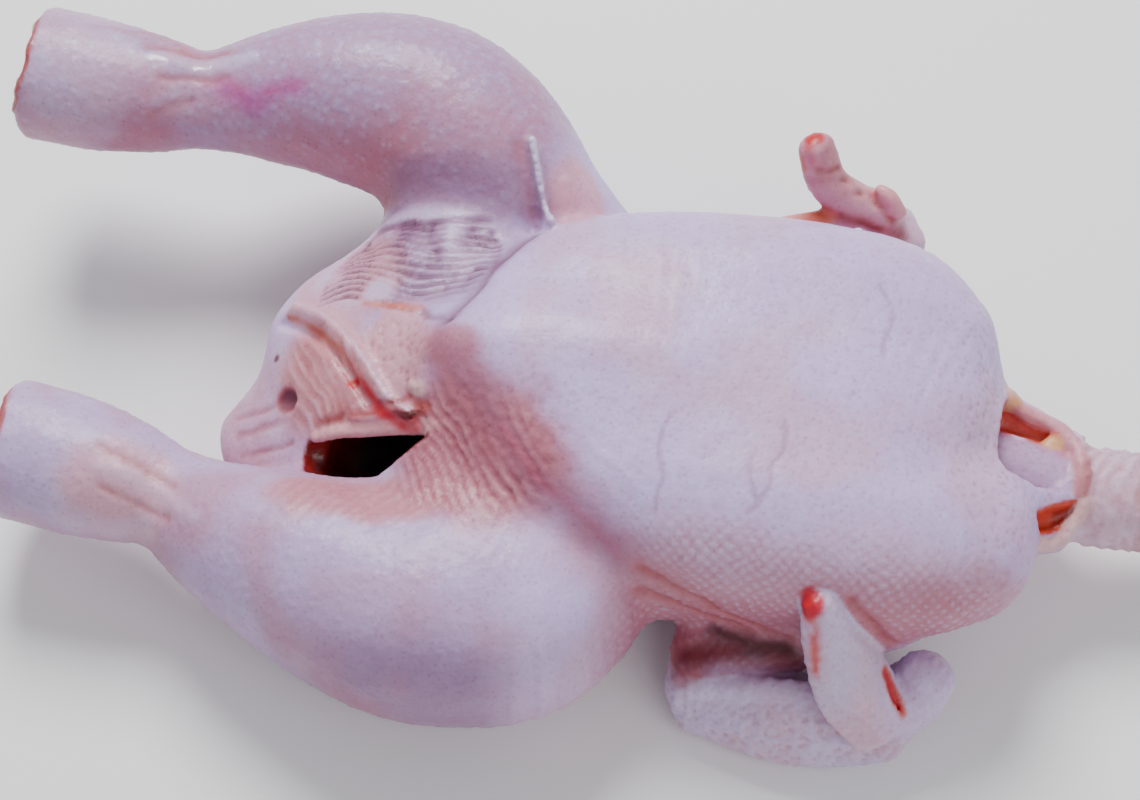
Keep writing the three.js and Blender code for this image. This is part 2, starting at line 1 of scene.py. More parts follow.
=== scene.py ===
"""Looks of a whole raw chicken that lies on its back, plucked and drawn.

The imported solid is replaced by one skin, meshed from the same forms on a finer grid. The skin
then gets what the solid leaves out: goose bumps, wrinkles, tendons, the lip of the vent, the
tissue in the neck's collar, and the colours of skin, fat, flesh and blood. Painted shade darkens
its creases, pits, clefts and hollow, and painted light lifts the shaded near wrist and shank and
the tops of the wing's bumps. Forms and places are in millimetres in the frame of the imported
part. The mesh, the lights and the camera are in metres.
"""

import math

import bpy
import numpy as np
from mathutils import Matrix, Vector


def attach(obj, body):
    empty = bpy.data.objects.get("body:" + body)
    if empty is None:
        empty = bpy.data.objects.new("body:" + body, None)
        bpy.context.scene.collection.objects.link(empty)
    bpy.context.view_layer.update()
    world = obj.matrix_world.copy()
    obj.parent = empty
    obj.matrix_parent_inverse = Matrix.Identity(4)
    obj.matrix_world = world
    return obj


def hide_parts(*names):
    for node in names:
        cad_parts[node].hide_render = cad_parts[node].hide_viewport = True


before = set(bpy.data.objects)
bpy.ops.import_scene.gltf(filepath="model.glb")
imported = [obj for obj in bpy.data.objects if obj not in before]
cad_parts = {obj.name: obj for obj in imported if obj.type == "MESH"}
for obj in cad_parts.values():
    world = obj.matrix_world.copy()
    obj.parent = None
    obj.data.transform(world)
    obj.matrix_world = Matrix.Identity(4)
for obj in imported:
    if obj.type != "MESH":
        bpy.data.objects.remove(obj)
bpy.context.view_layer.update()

MM = 0.001

# -------- driving dimensions, in mm

BACK_HEIGHT = 36  # centre line of the rib cage above the table
BACK_HALF_WIDTH = 58
BREAST_HALF_WIDTH = 29  # one breast lobe
BREAST_HALF_HEIGHT = 25
KEEL_HALF_WIDTH = 13.5
CAVITY_HALF_WIDTH = 31
CAVITY_HALF_HEIGHT = 23
LEG_HALF_WIDTH = 29.5
WING_HALF_WIDTH = 11
NECK_RADIUS = 13

GRID_STEP = 0.9
BLOCK_CELLS = 6  # grid cells along a block that is tested as one
BLOCKS_AT_ONCE = 1000
SMOOTHING_STEPS = (0.5, -0.52)  # a step in, then one out
SMOOTHING_ROUNDS = 3
CENTRE_LINE_STEPS = 6  # straight pieces between two stations of a limb
FLOOR_SOFTNESS = 2.5  # rounding where the back meets the table
CULL_MARGIN = 9  # how far round a form its field is worked out
FOLD_REACH = 8  # how far from the smooth skin the folds change the field
DRAPE_LEVEL = 25  # lines in plan are laid on the skin above it
DRAPE_RADIUS = 1.225  # how far in plan from a line its skin is looked for
FAR = 1000.0

LIT_POINT = (0, 0, 0.04)
CAMERA_TARGET = (-0.0202, -0.0191, 0.081)
CAMERA_DISTANCE = 0.63
CAMERA_AZIMUTH = 6  # degrees, from the near side towards the neck
CAMERA_ELEVATION = 62
CAMERA_LENS = 73.67

# Sections along a leg from the hip to the cut hock: place along the limb as a fraction,
# then half width and half height as fractions of LEG_HALF_WIDTH.
LEG_SECTIONS = [
    (0, 0.61, 0.73), (0.11, 0.8, 0.92), (0.25, 0.99, 1), (0.37, 1, 0.95), (0.49, 0.88, 0.85),
    (0.61, 0.7, 0.68), (0.72, 0.52, 0.48), (0.8, 0.6, 0.58), (0.9, 0.69, 0.62), (1, 0.7, 0.64),
]
RIGHT_LEG_LINE = [
    (-22, 54.5, 32.5), (-40, 64.5, 38.5), (-60, 80, 47), (-80, 90.5, 52), (-111, 91, 54),
    (-142.5, 86.5, 54), (-168, 86.5, 56), (-192.5, 89, 57),
]
LEFT_LEG_LINE = [
    (-15, -56, 30.5), (-26.5, -67.5, 32.5), (-45.5, -69.5, 33.5), (-69, -63, 34), (-91.5, -55, 34),
    (-116.5, -46, 33.5), (-136.5, -37, 33.5), (-159, -31, 34), (-182, -27, 34),
]


# -------- distance fields

def blend(a, b, fillet):
    """The smaller of two distances, with a fillet about that wide where they meet."""
    overlap = np.maximum(fillet - np.abs(a - b), 0) / fillet
    return np.minimum(a, b) - overlap * overlap * fillet * 0.25


def oval_distance(u, v, w, ru, rv, rw):
    """Distance to an ellipsoid from offsets along its axes, near enough close to its surface."""
    u, v, w = u / ru, v / rv, w / rw
    level = np.sqrt(u * u + v * v + w * w)
    slope = np.sqrt((u / ru) ** 2 + (v / rv) ** 2 + (w / rw) ** 2) + 1e-6
    inner = (level - 1) * np.minimum(np.minimum(ru, rv), rw)
    return np.where(level < 0.35, inner, (level - 1) * level / slope)


def smooth_line(stations, steps=CENTRE_LINE_STEPS):
    """Points along the Catmull-Rom line through the stations, with that many steps to each gap."""
    p = np.array(stations, np.float32)
    p = np.vstack([2 * p[0] - p[1], p, 2 * p[-1] - p[-2]])
    t = np.linspace(0, 1, steps, endpoint=False, dtype=np.float32)[:, None]
    gaps = []
    for a, b, c, d in zip(p, p[1:], p[2:], p[3:]):
        cubic = 2 * a - 5 * b + 4 * c - d + t * (3 * b - a - 3 * c + d)
        gaps.append(b + 0.5 * t * (c - a + t * cubic))
    return np.vstack([*gaps, p[-2:-1]])


def travelled(path):
    """The length along a path up to each of its points."""
    return np.concatenate([[0], np.cumsum(np.linalg.norm(np.diff(path, axis=0), axis=1))])


def points_along(path, lengths):
    return np.stack([np.interp(lengths, travelled(path), path[:, axis]) for axis in range(3)], 1)


class Limb:
    """An oval section swept along a smooth line of stations (x, y, z, half width, half height)."""

    def __init__(self, stations, cap=0.8):
        line = smooth_line(stations)
        self.start, self.end = line[:-1], line[1:]
        along = self.end[:, :3] - self.start[:, :3]
        self.length = np.linalg.norm(along, axis=1)
        self.along = along / self.length[:, None]
        side = np.cross((0, 0, 1), self.along)
        self.side = (side / np.linalg.norm(side, axis=1)[:, None]).astype(np.float32)
        self.up = np.cross(self.along, self.side)
        self.cap = cap
        reach = line[:, 3:].max()
        self.low, self.high = line[:, :3].min(0) - reach, line[:, :3].max(0) + reach

    def distance(self, points):
        nearest = np.full(len(points), FAR, np.float32)
        for i, length in enumerate(self.length):
            offset = points - self.start[i, :3]
            reach = offset @ self.along[i]
            t = np.clip(reach / length, 0, 1)
            width = self.start[i, 3] + t * (self.end[i, 3] - self.start[i, 3])
            height = self.start[i, 4] + t * (self.end[i, 4] - self.start[i, 4])
            across, above = offset @ self.side[i], offset @ self.up[i]
            ends = self.cap * np.minimum(width, height)
            d = oval_distance(across, above, reach - t * length, width, height, ends)
            np.minimum(nearest, d, out=nearest)
        return nearest


class Oval:
    """An ellipsoid with its axes along x, y and z."""

    def __init__(self, centre, radii):
        self.centre, self.radii = np.array(centre, np.float32), np.array(radii, np.float32)
        self.low, self.high = self.centre - self.radii, self.centre + self.radii

    def distance(self, points):
        return oval_distance(*(points - self.centre).T, *self.radii)


class Blend:
    """Forms joined or cut one after another, each with its own fillet."""

    def __init__(self):
        self.steps = []
        self.low, self.high = np.full(3, FAR), np.full(3, -FAR)

    def add(self, form, fillet):
        self.steps.append((form, fillet, 1))
        self.low, self.high = np.minimum(self.low, form.low), np.maximum(self.high, form.high)
        return self

    def cut(self, form, fillet):
        self.steps.append((form, fillet, -1))
        return self

    def distance(self, points, start=None):
        """The distance to the blend, worked on from a distance field that it is added to."""
        d = np.full(len(points), FAR, np.float32) if start is None else start
        for form, fillet, sign in self.steps:
            reach = CULL_MARGIN + fillet
            near = np.flatnonzero(((points > form.low - reach) & (points < form.high + reach)).all(1))
            if len(near):
                d[near] = sign * blend(sign * d[near], form.distance(points[near]), fillet)
        return d


# -------- the bird's forms

def leg(line):
    """The stations of a leg: its sections set by length along a smooth centre line."""
    path = smooth_line(line, steps=24)
    places, widths, heights = np.array(LEG_SECTIONS).T
    centres = points_along(path, places * travelled(path)[-1])
    sections = zip(*centres.T, widths, heights)
    return Limb(shares(sections, LEG_HALF_WIDTH, LEG_HALF_WIDTH), 0.3)


def shares(stations, width, height):
    """Stations whose last two numbers are shares of a half width and a half height."""
    return [(x, y, z, w * width, h * height) for x, y, z, w, h in stations]


RIGHT_LEG = leg(RIGHT_LEG_LINE)
LEFT_LEG = leg(LEFT_LEG_LINE)
TAIL = Limb([(-86, -6.5, 27, 27, 20), (-104, -9, 25, 21.5, 13.5), (-118, -13.5, 22.5, 11.5, 8)])
HOLLOW = Limb(shares([
    (-79.5, -23, 35.5, 0.4, 0.52), (-64.5, -16.5, 37, 0.68, 0.76), (-34.5, -6.5, 38, 0.96, 0.97),
    (6, -1, 38, 1, 1), (42, -1, 38, 0.8, 0.86),
], CAVITY_HALF_WIDTH, CAVITY_HALF_HEIGHT))
SLIT = Limb([
    (-93, -25, 49, 5, 9), (-85, -25.5, 52, 6, 9), (-74, -24.5, 56, 5.6, 10), (-62, -21, 57, 4, 8),
])
SLIT_FLOOR = Limb([(-91, -25, 46, 5.2, 7), (-76, -24.5, 43, 6.8, 9), (-64, -22, 44, 6.5, 9)])
COLLAR_OPENING = Limb([(102, -4, 46, 15.5, 10), (118.5, -6.5, 41.5, 9, 7)], 0.6)
NECK = Limb(shares([
    (97.5, -4.5, 37, 0.85, 0.85), (119.5, -8.5, 34, 0.9, 0.9), (131, -8.5, 31, 1.05, 1.05),
    (149, -8, 29, 1.05, 1.05),
], NECK_RADIUS, NECK_RADIUS), 0.3)
HOCK_SOCKETS = [Oval((-218, 89, 57), (24, 23, 23)), Oval((-208.5, -25.5, 34), (24, 23, 23))]


def torso():
    """The rib cage, back, pelvis, thighs and tail."""
    spine = [
        (-82, 0.5, -8, 0.58, 30), (-62, 0.5, -4, 0.68, 34.5), (-30, 0.5, -1, 0.86, 39),
        (6, -1, 0, 0.98, 40), (42, -1, 0, 1, 40), (67, -4, 0, 0.88, 38), (80, -9, -1, 0.72, 32),
    ]
    back = [(x, y, BACK_HEIGHT + lift, w * BACK_HALF_WIDTH, h) for x, y, lift, w, h in spine]
    pelvis = [(-60.5, 18.5, 32.5, 38, 29), (-80.5, 15, 30.5, 34, 27), (-91.5, 9.5, 29, 29, 23.5)]
    return (
        Blend().add(Limb(back, 0.45), 10).add(Limb(pelvis, 0.9), 12)
        .add(RIGHT_LEG, 12).add(LEFT_LEG, 12)
        .add(Oval((-60, 41, 32), (28, 27, 29)), 12)
        .add(Oval((-37, -50, 30), (39.5, 30.5, 30)), 14)
        .add(TAIL, 8)
    )


def breast():
    """The two breast lobes and the keel between them."""
    right_lobe = [
        (-39, 18, 56.5, 0.63, 0.68), (-19.5, 26, 56.5, 0.88, 0.79), (10.5, 29.5, 54, 0.97, 0.96),
        (42, 30.5, 51.5, 1, 1), (66, 29.5, 48.5, 0.96, 0.98), (80, 24, 46, 0.76, 0.88),
    ]
    left_lobe = [
        (-39, -8.5, 56, 0.69, 0.75), (-19.5, -19, 54, 0.9, 0.89), (10.5, -27, 52, 1.03, 1),
        (42, -31.5, 49.5, 1.03, 1.07), (72.5, -32.5, 45, 1.03, 1.04), (91.5, -31, 41.5, 0.81, 0.89),
    ]
    keel = [
        (-53.5, 0.5, 66.5, 0.6, 9), (-30, 1.5, 68.5, 0.87, 11), (4, 1.5, 68.5, 1, 11),
        (33, 0.5, 64, 1, 11), (61.5, 0.5, 57.5, 1, 11),
    ]
    return (
        Blend().add(Limb(shares(right_lobe, BREAST_HALF_WIDTH, BREAST_HALF_HEIGHT)), 14)
        .add(Limb(shares(left_lobe, BREAST_HALF_WIDTH, BREAST_HALF_HEIGHT), 0.9), 14)
        .add(Limb(shares(keel, KEEL_HALF_WIDTH, 1)), 20)
    )


def wing(upper_arm, forearm, wrist, hand, blade, rear_edge=None):
    """A wing folded back on itself, with each line's girth as shares of WING_HALF_WIDTH."""
    def limb(line, girths):
        stations = [(*point, *girth) for point, girth in zip(line, girths)]
        return Limb(shares(stations, WING_HALF_WIDTH, WING_HALF_WIDTH))

    pieces = [
        (limb(upper_arm, [(1.25, 1.25), (1, 1), (1, 0.95)]), 5),
        (limb(forearm, [(0.9, 0.85), (1, 1), (0.92, 1)]), 3),
        (limb(wrist, [(0.85, 0.95), (0.75, 0.8)]), 3),
        (limb(hand, blade), 2),
    ]
    if rear_edge:
        pieces.insert(2, (limb(rear_edge, [(0.75, 0.65), (0.75, 0.75), (0.75, 0.75)]), 3))
    return pieces


LEFT_WING = wing(
    upper_arm=[(70.5, -49.5, 36), (43.5, -57, 23.5), (22, -64, 18)],
    forearm=[(20.5, -69.5, 12.5), (49, -76, 12.5), (77, -72, 15.5)],
    rear_edge=[(22, -75, 8), (51, -81, 8), (74.5, -78.5, 11)],
    wrist=[(81.5, -69.5, 18), (85, -66, 24.5)],
    hand=[(72, -80, 23), (63, -73, 34), (55.5, -66.5, 47), (51.5, -61.5, 57.5)],
    blade=[(0.95, 0.6), (1.1, 0.55), (0.75, 0.5), (0.4, 0.4)],
)
RIGHT_WING = wing(
    upper_arm=[(67, 53, 32.5), (42, 58.5, 20), (20.5, 63.5, 15.5)],
    forearm=[(18.5, 65.5, 12.5), (45.5, 68, 11.5), (70.5, 67.5, 15.5)],
    wrist=[(69, 69, 21.5), (71.5, 74.5, 29)],
    hand=[(70.5, 77.5, 30.5), (59, 78, 40), (47.5, 79, 49.5), (42.5, 84, 60.5)],
    blade=[(0.65, 0.6), (0.58, 0.55), (0.62, 0.5), (0.52, 0.45)],
)
RIGHT_THUMB = Oval((64.5, 78, 39.5), (6.5, 5.5, 6.5))


CONDYLES = [
    Oval(centre, (5, 8, 9))
    for centre in [(-192.5, 80, 58), (-192.5, 97, 57), (-183, -35.5, 34.5), (-183, -18.5, 34.5)]
]
HOCK_SLANTS = [Oval((-217, 89, 72), (24, 34, 26)), Oval((-206, -25.5, 49), (24, 34, 26))]
FLAP_LIP = Limb([
    (-93, -20.5, 46, 1.5, 1.5), (-85.5, -20.5, 51, 1.8, 1.8), (-75, -20.5, 55, 2.2, 2),
    (-66, -20, 58.5, 3, 2.5), (-57, -20, 61, 3, 3),
])
FLAP_WEB = Limb([(-81, -17.5, 54, 2, 3), (-71, -17, 57.5, 3.5, 3.5), (-60, -17, 61, 3.5, 3.5)])
FAT_NUB = Oval((-62, -12, 66.8), (3.4, 1.8, 1.6))
TAIL_PIT = Oval((-105, -8, 44), (5, 3.2, 3.5))
RED_PIT = Oval((-83, -8, 59.5), (1.5, 1.4, 2))
COLLAR_RIM = Limb([
    (101, 11.5, 47.5, 2, 2), (110, 8.5, 44.5, 2, 2), (118, 6.5, 44, 1.7, 1.7),
    (122.5, 1, 44.3, 1.5, 1.5), (124, -7.5, 45.8, 1.5, 1.5), (123.5, -14, 44, 1.5, 1.5),
])
COLLAR_FOLD = Oval((102.5, 12.5, 46.5), (3.6, 3, 3))
COLLAR_FAT = Oval((117.5, 1.5, 43), (3.8, 2.4, 1.7))
NECK_WEDGE = Limb([(111, -25, 45, 1.6, 3.5), (117, -22, 42.5, 2.8, 4), (122.5, -18.5, 42.5, 1.4, 2.5)])
WEDGE_EDGE = Limb([
    (125, -16.5, 42.5, 1.3, 1.3), (121.5, -24.5, 38, 1.5, 1.5), (117, -27.5, 35.5, 1.6, 1.6),
    (113, -29, 39, 1.4, 1.4),
])
NECK_FACE = Oval((170, -8, 29.5), (19, 19, 19))
NECK_BONE = Oval((150, -8, 31), (3.2, 5, 4.4))
NECK_CANAL = Oval((153.5, -8, 31.5), (4, 1.5, 1.5))
WRIST_SLIT = Limb([(73, -70, 35, 0.9, 1), (75.5, -74.5, 30.5, 1.1, 1.3), (77.5, -78, 26, 0.8, 1)])
FOREARM_EDGE = Limb([(20, -73.5, 20, 2.6, 2.6), (40, -73.8, 23, 3, 2.6), (62, -74, 24, 3, 2.6)])
UNDERARM_GROOVE = Limb([(17, -66.5, 28, 1.6, 1.6), (30, -65.5, 31, 2.4, 2.2), (44, -65, 32, 2.4, 2.2)])
FAR_WING_WEB = Limb([(22, 60, 45, 3, 3), (40, 68.5, 42, 3.5, 3), (54, 73, 39, 4, 4)])
RIGHT_THUMB_TIP = Limb([(63, 79.5, 47.5, 2, 2), (66.5, 77.5, 46.5, 2.6, 2.6), (70, 75, 42.5, 2.4, 2.4)])


def tissue():
    """What the solid leaves out: joint ends, lips, fat, the neck's cut face and small holes."""
    parts = Blend()
    for slant in HOCK_SLANTS:
        parts.cut(slant, 1.5)
    for condyle in CONDYLES:
        parts.add(condyle, 1.2)
    parts.add(FLAP_WEB, 2).add(FLAP_LIP, 1.5).add(FAT_NUB, 3).cut(TAIL_PIT, 2).cut(RED_PIT, 0.8)
    parts.add(COLLAR_RIM, 1.5).add(COLLAR_FOLD, 2).add(COLLAR_FAT, 2.5)
    parts.cut(NECK_WEDGE, 1.2).add(WEDGE_EDGE, 1.2)
    parts.cut(NECK_FACE, 1.5).add(NECK_BONE, 0.8).cut(NECK_CANAL, 0.8)
    parts.cut(UNDERARM_GROOVE, 4).add(FOREARM_EDGE, 3).cut(WRIST_SLIT, 1)
    return parts.add(FAR_WING_WEB, 3).add(RIGHT_THUMB_TIP, 1)


def chicken():
    bird = Blend().add(torso(), 1).add(breast(), 6)
    for socket in HOCK_SOCKETS:
        bird.cut(socket, 2)
    belly_skin = [
        [(-54.5, -1, 65, 8, 8), (-60.5, -13.5, 54, 9, 9), (-57, -33.5, 45, 11, 11)],
        [(-55.5, 2.5, 59.5, 10, 9), (-69.5, 13.5, 48.5, 14.5, 9), (-82.5, 26, 39.5, 14.5, 11)],
    ]
    for skin in belly_skin:
        bird.add(Limb(skin), 8)
    bird.cut(HOLLOW, 5).cut(SLIT, 2.5).cut(SLIT_FLOOR, 3)
    collar = [(81.5, -5, 33, 29.5, 25), (103, -6, 32.5, 25, 21), (122, -7.5, 30.5, 18, 15.5)]
    bird.add(Limb(collar, 0.3), 8).cut(COLLAR_OPENING, 3).add(NECK, 3)
    for piece, fillet in [*LEFT_WING, *RIGHT_WING]:
        bird.add(piece, fillet)
    return bird.add(RIGHT_THUMB, 3)


def shifted(line, dx, dy):
    return [(x + dx, y + dy) for x, y in line]


# Folds (height above 0) and creases (below 0) in the skin: height, half width, the level that
# they fade out at, and their line seen from above.
VENT_EDGE = [(-105.5, 20), (-92.5, 10.5), (-81.5, -2), (-72.5, -14.5), (-65.5, -19.5)]
SKIN_LINES = [
    (2.2, 1.9, 36, VENT_EDGE),
    (-2.2, 1.5, 36, shifted(VENT_EDGE, -2.8, -2.8)),
    (-0.9, 5, 36, shifted(VENT_EDGE, -7, -7)),
    (3.0, 1.5, 50, [(-40.5, 69.5), (-37, 58), (-32.5, 45)]),
    (-0.9, 2.2, 50, [(-44.5, 68), (-41.5, 57), (-38, 46)]),
]
LINE_FADE = 8


def line_distance(points, line):
    """Distance to a line of straight pieces, in plan or in space as its points have 2 or 3 numbers."""
    line = np.array(line, np.float32)
    points = points[:, :line.shape[1]]
    nearest = np.full(len(points), FAR, np.float32)
    for a, b in zip(line, line[1:]):
        along = b - a
        t = np.clip((points - a) @ along / (along @ along), 0, 1)
        np.minimum(nearest, np.linalg.norm(points - a - t[:, None] * along, axis=1), out=nearest)
    return nearest


def ramp(low, high, value):
    """0 at low and 1 at high, with soft ends. Low may be the higher of the two."""
    t = np.clip((value - low) / (high - low), 0, 1)
    return t * t * (3 - 2 * t)


def skin_field(points):
    """The bird's distance field, with its large folds, cut flat by the table."""
    d = BIRD.distance(points)
    near = np.flatnonzero(np.abs(d) < FOLD_REACH)
    skin = points[near]
    for height, half_width, level, line in SKIN_LINES:
        fade = ramp(level, level + LINE_FADE, skin[:, 2])
        d[near] -= height * fade * np.exp(-(line_distance(skin, line) / half_width) ** 2)
    return -blend(-TISSUE.distance(points, d), points[:, 2], FLOOR_SOFTNESS)


BIRD = chicken()
TISSUE = tissue()


# -------- meshing the field

def sample_field(field, low, high):
    """The field on a regular grid. Blocks far from the skin take their middle's value."""
    blocks = np.ceil((high - low) / (GRID_STEP * BLOCK_CELLS)).astype(int)
    corners = np.indices(blocks).reshape(3, -1).T * BLOCK_CELLS
    middles = (low + (corners + (BLOCK_CELLS - 1) / 2) * GRID_STEP).astype(np.float32)
    coarse = field(middles)
    values = coarse.reshape(blocks)
    for axis in range(3):
        values = np.repeat(values, BLOCK_CELLS, axis)
    values = np.ascontiguousarray(values)
    near = np.flatnonzero(np.abs(coarse) < BLOCK_CELLS * GRID_STEP * 1.3)
    offsets = np.indices((BLOCK_CELLS,) * 3).reshape(3, -1).T
    for first in range(0, len(near), BLOCKS_AT_ONCE):
        cells = (corners[near[first:first + BLOCKS_AT_ONCE], None] + offsets).reshape(-1, 3)
        values[tuple(cells.T)] = field((low + cells * GRID_STEP).astype(np.float32))
    return values


CORNERS = [(0, 0, 0), (1, 0, 0), (0, 1, 0), (1, 1, 0), (0, 0, 1), (1, 0, 1), (0, 1, 1), (1, 1, 1)]
CELL_EDGES = [
    (a, b) for a in range(8) for b in range(a + 1, 8)
    if sum(p != q for p, q in zip(CORNERS[a], CORNERS[b])) == 1
]


def corner_views(values):
    """The grid seen from each corner of its cells."""
    size = np.array(values.shape) - 1
    return [values[a:a + size[0], b:b + size[1], c:c + size[2]] for a, b, c in CORNERS]


def crossed_twice(pattern):
    """Whether a cell with those inside corners is crossed by more than one sheet of skin."""
    inside = [pattern >> corner & 1 for corner in range(8)]
    group = list(range(8))
    for _ in range(8):
        for a, b in CELL_EDGES:
            if inside[a] == inside[b]:
                group[a] = group[b] = min(group[a], group[b])
    return len(set(group)) > 2


def part_sheets(values):
    """Fills corners near the skin until one sheet crosses each cell, so the mesh never meets itself."""
    twice = np.array([crossed_twice(pattern) for pattern in range(256)])
    while True:
        pattern = np.zeros(np.array(values.shape) - 1, np.uint8)
        for corner, view in enumerate(corner_views(values)):
            pattern |= (view < 0).astype(np.uint8) << corner
        faults = np.argwhere(twice[pattern])
        if not len(faults):
            return
        for cell in faults:
            places = [tuple(cell + corner) for corner in CORNERS]
            outside = [place for place in places if values[place] >= 0]
            if outside:
                values[min(outside, key=lambda place: values[place])] = -0.1 * GRID_STEP


def surface_net(values, low):
    """One point in each cell that the skin crosses, and a quad round each grid edge that it crosses."""
    corner = corner_views(values)
    count = sum((view < 0).astype(np.int8) for view in corner)
    crossed = (count > 0) & (count < 8)
    cells = np.argwhere(crossed)
    index = np.full(crossed.shape, -1, np.int64)
    index[crossed] = np.arange(len(cells))
    at_cell = [view[crossed] for view in corner]
    total, hits = np.zeros((len(cells), 3)), np.zeros(len(cells))
    for a, b in CELL_EDGES:
        cut = (at_cell[a] < 0) != (at_cell[b] < 0)
        t = at_cell[a][cut] / (at_cell[a][cut] - at_cell[b][cut])
        start, end = np.array(CORNERS[a]), np.array(CORNERS[b])
        total[cut] += start + t[:, None] * (end - start)
        hits[cut] += 1
    points = low + GRID_STEP * (cells + total / hits[:, None])

    quads = []
    inside = values < 0
    for axis in range(3):
        here, ahead = [slice(1, -1)] * 3, [slice(1, -1)] * 3
        here[axis], ahead[axis] = slice(0, -1), slice(1, None)
        edges = np.argwhere(inside[tuple(here)] != inside[tuple(ahead)])
        u, v = (axis + 1) % 3, (axis + 2) % 3
        faces_back = ~inside[tuple(here)][tuple(edges.T)]
        ring = []
        for du, dv in ((1, 1), (0, 1), (0, 0), (1, 0)):
            cell = edges.copy()
            cell[:, u] += 1 - du
            cell[:, v] += 1 - dv
            ring.append(index[tuple(cell.T)])
        quad = np.stack(ring, 1)
        quad[faces_back] = quad[faces_back, ::-1]
        quads.append(quad)
    return points, np.vstack(quads)


def quad_edges(quads):
    pairs = np.vstack([quads[:, [i, (i + 1) % 4]] for i in range(4)])
    return np.vstack([pairs, pairs[:, ::-1]])


def summed(index, vectors, count):
    """The sum of the vectors that share each index."""
    return np.stack([np.bincount(index, vectors[:, axis], count) for axis in range(3)], 1)


def smoothed(points, edges):
    """Evens out the mesh without shrinking it, by steps in and out."""
    count = np.bincount(edges[:, 0], minlength=len(points))
    for step in SMOOTHING_STEPS * SMOOTHING_ROUNDS:
        mean = summed(edges[:, 0], points[edges[:, 1]], len(points)) / count[:, None]
        points = points + step * (mean - points)
    return points


def vertex_normals(points, quads):
    a, b, c, d = (points[quads[:, i]] for i in range(4))
    face = np.cross(c - a, d - b)
    normals = summed(quads.ravel(), np.repeat(face, 4, 0), len(points))
    return normals / np.linalg.norm(normals, axis=1)[:, None]


def build_skin():
    """The points and quads of the smooth skin."""
    margin = 3 * GRID_STEP
    low = np.array([BIRD.low[0] - margin, BIRD.low[1] - margin, -margin])
    values = sample_field(skin_field, low, BIRD.high + margin)
    part_sheets(values)
    points, quads = surface_net(values, low)
    return smoothed(points, quad_edges(quads)), quads


# -------- patterns

def lattice_value(cells, seed):
    """A repeatable number from 0 to 1 for each cell of a lattice."""
    mixed = cells[..., 0] * 73856093 ^ cells[..., 1] * 19349663 ^ cells[..., 2] * 83492791
    mixed = (mixed ^ seed * 40503) & 0xFFFFFFFF
    for shift, factor in ((16, 0x45D9F3B), (15, 0x2C1B3C6D), (16, 1)):
        mixed = ((mixed ^ mixed >> shift) * factor) & 0xFFFFFFFF
    return mixed / 0xFFFFFFFF


def noise(points, size, seed):
    """Smooth unevenness from -1 to 1, with lumps about that many mm across."""
    places = points / size
    cells = np.floor(places).astype(np.int64)
    t = places - cells
    t = t * t * (3 - 2 * t)
    total = np.zeros(len(points))
    for corner in CORNERS:
        weight = np.prod(np.where(corner, t, 1 - t), axis=1)
        total += weight * lattice_value(cells + corner, seed)
    return total * 2 - 1


def layered_noise(points, size, seed):
    return (noise(points, size, seed) + 0.5 * noise(points, size / 2.1, seed + 1)) / 1.5


def scattered(points, spacing, seed):
    """One spot in each cell of a lattice: the cells round the points and the squared gaps to them."""
    places = points / spacing
    cells = np.floor(places).astype(np.int64)
    for offset in np.indices((3, 3, 3)).reshape(3, -1).T - 1:
        cell = cells + offset
        jitter = np.stack([lattice_value(cell, seed + axis) for axis in range(3)], 1)
        yield cell, ((places - cell - jitter) ** 2).sum(1)


def bumps(points, spacing, seed, width):
    """Rounded bumps of uneven size, from 0 to 1, one to each cell of a loose lattice."""
    highest = np.zeros(len(points))
    for cell, gap2 in scattered(points, spacing, seed):
        size = 0.55 + 0.45 * lattice_value(cell, seed + 3)
        np.maximum(highest, size * np.exp(-gap2 / width ** 2), out=highest)
    return highest


def net(points, spacing, seed):
    """0 at scattered pits and rising towards 1 on the net between them."""
    nearest2 = np.full(len(points), FAR)
    for _, gap2 in scattered(points, spacing, seed):
        np.minimum(nearest2, gap2, out=nearest2)
    return ramp(0.1, 0.75, np.sqrt(nearest2))


def ridges(points, across, pitch, seed, waviness=0.8):
    """Wavy parallel ridges from 0 to 1, one to each pitch in the direction across them."""
    across = np.array(across, float) / np.linalg.norm(across)
    phase = points @ across / pitch + waviness * noise(points, pitch * 5, seed)
    strength = 0.55 + 0.45 * noise(points, pitch * 4, seed + 1)
    return strength * (0.5 + 0.5 * np.cos(2 * math.pi * phase)) ** 2


def wandering(points, size, reach):
    """The points moved about, so that what is drawn by them gets an uneven edge."""
    return points + reach * np.stack([layered_noise(points, size, seed) for seed in (71, 73, 75)], 1)


def zone(points, centre, radii):
    """1 inside an oval place, falling softly to 0 round it."""
    level = np.linalg.norm((points - np.array(centre)) / np.array(radii), axis=1)
    return ramp(1.3, 0.7, level)


def near_form(points, form, height=0.8, softness=0.7):
    """1 on and in a form, falling to 0 just outside it."""
    return ramp(height + softness, height, form.distance(points.astype(np.float32)))


def on_walls(points, form, depth=1.0):
    """1 on the walls of a hollow that the form cut."""
    return near_form(points, form, depth, 0.8)


def stroke(points, curve, half_width):
    """1 along a curve in space, falling softly to 0 beside it."""
    curve = np.array(curve, np.float32)
    reach = 3 * half_width
    amount = np.zeros(len(points))
    near = ((points > curve.min(0) - reach) & (points < curve.max(0) + reach)).all(1)
    amount[near] = np.exp(-(line_distance(points[near], curve) / half_width) ** 2)
    return amount


def row(points, line, pitch, radius):
    """Rounded bumps set evenly along a curve, from 0 to 1."""
    curve = smooth_line(line)
    near = np.flatnonzero(line_distance(points, curve) < 3 * radius)
    highest = np.zeros(len(points))
    for centre in points_along(curve, np.arange(0, travelled(curve)[-1], pitch)):
        gap2 = ((points[near] - centre) ** 2).sum(1)
        highest[near] = np.maximum(highest[near], np.exp(-gap2 / radius ** 2))
    return highest


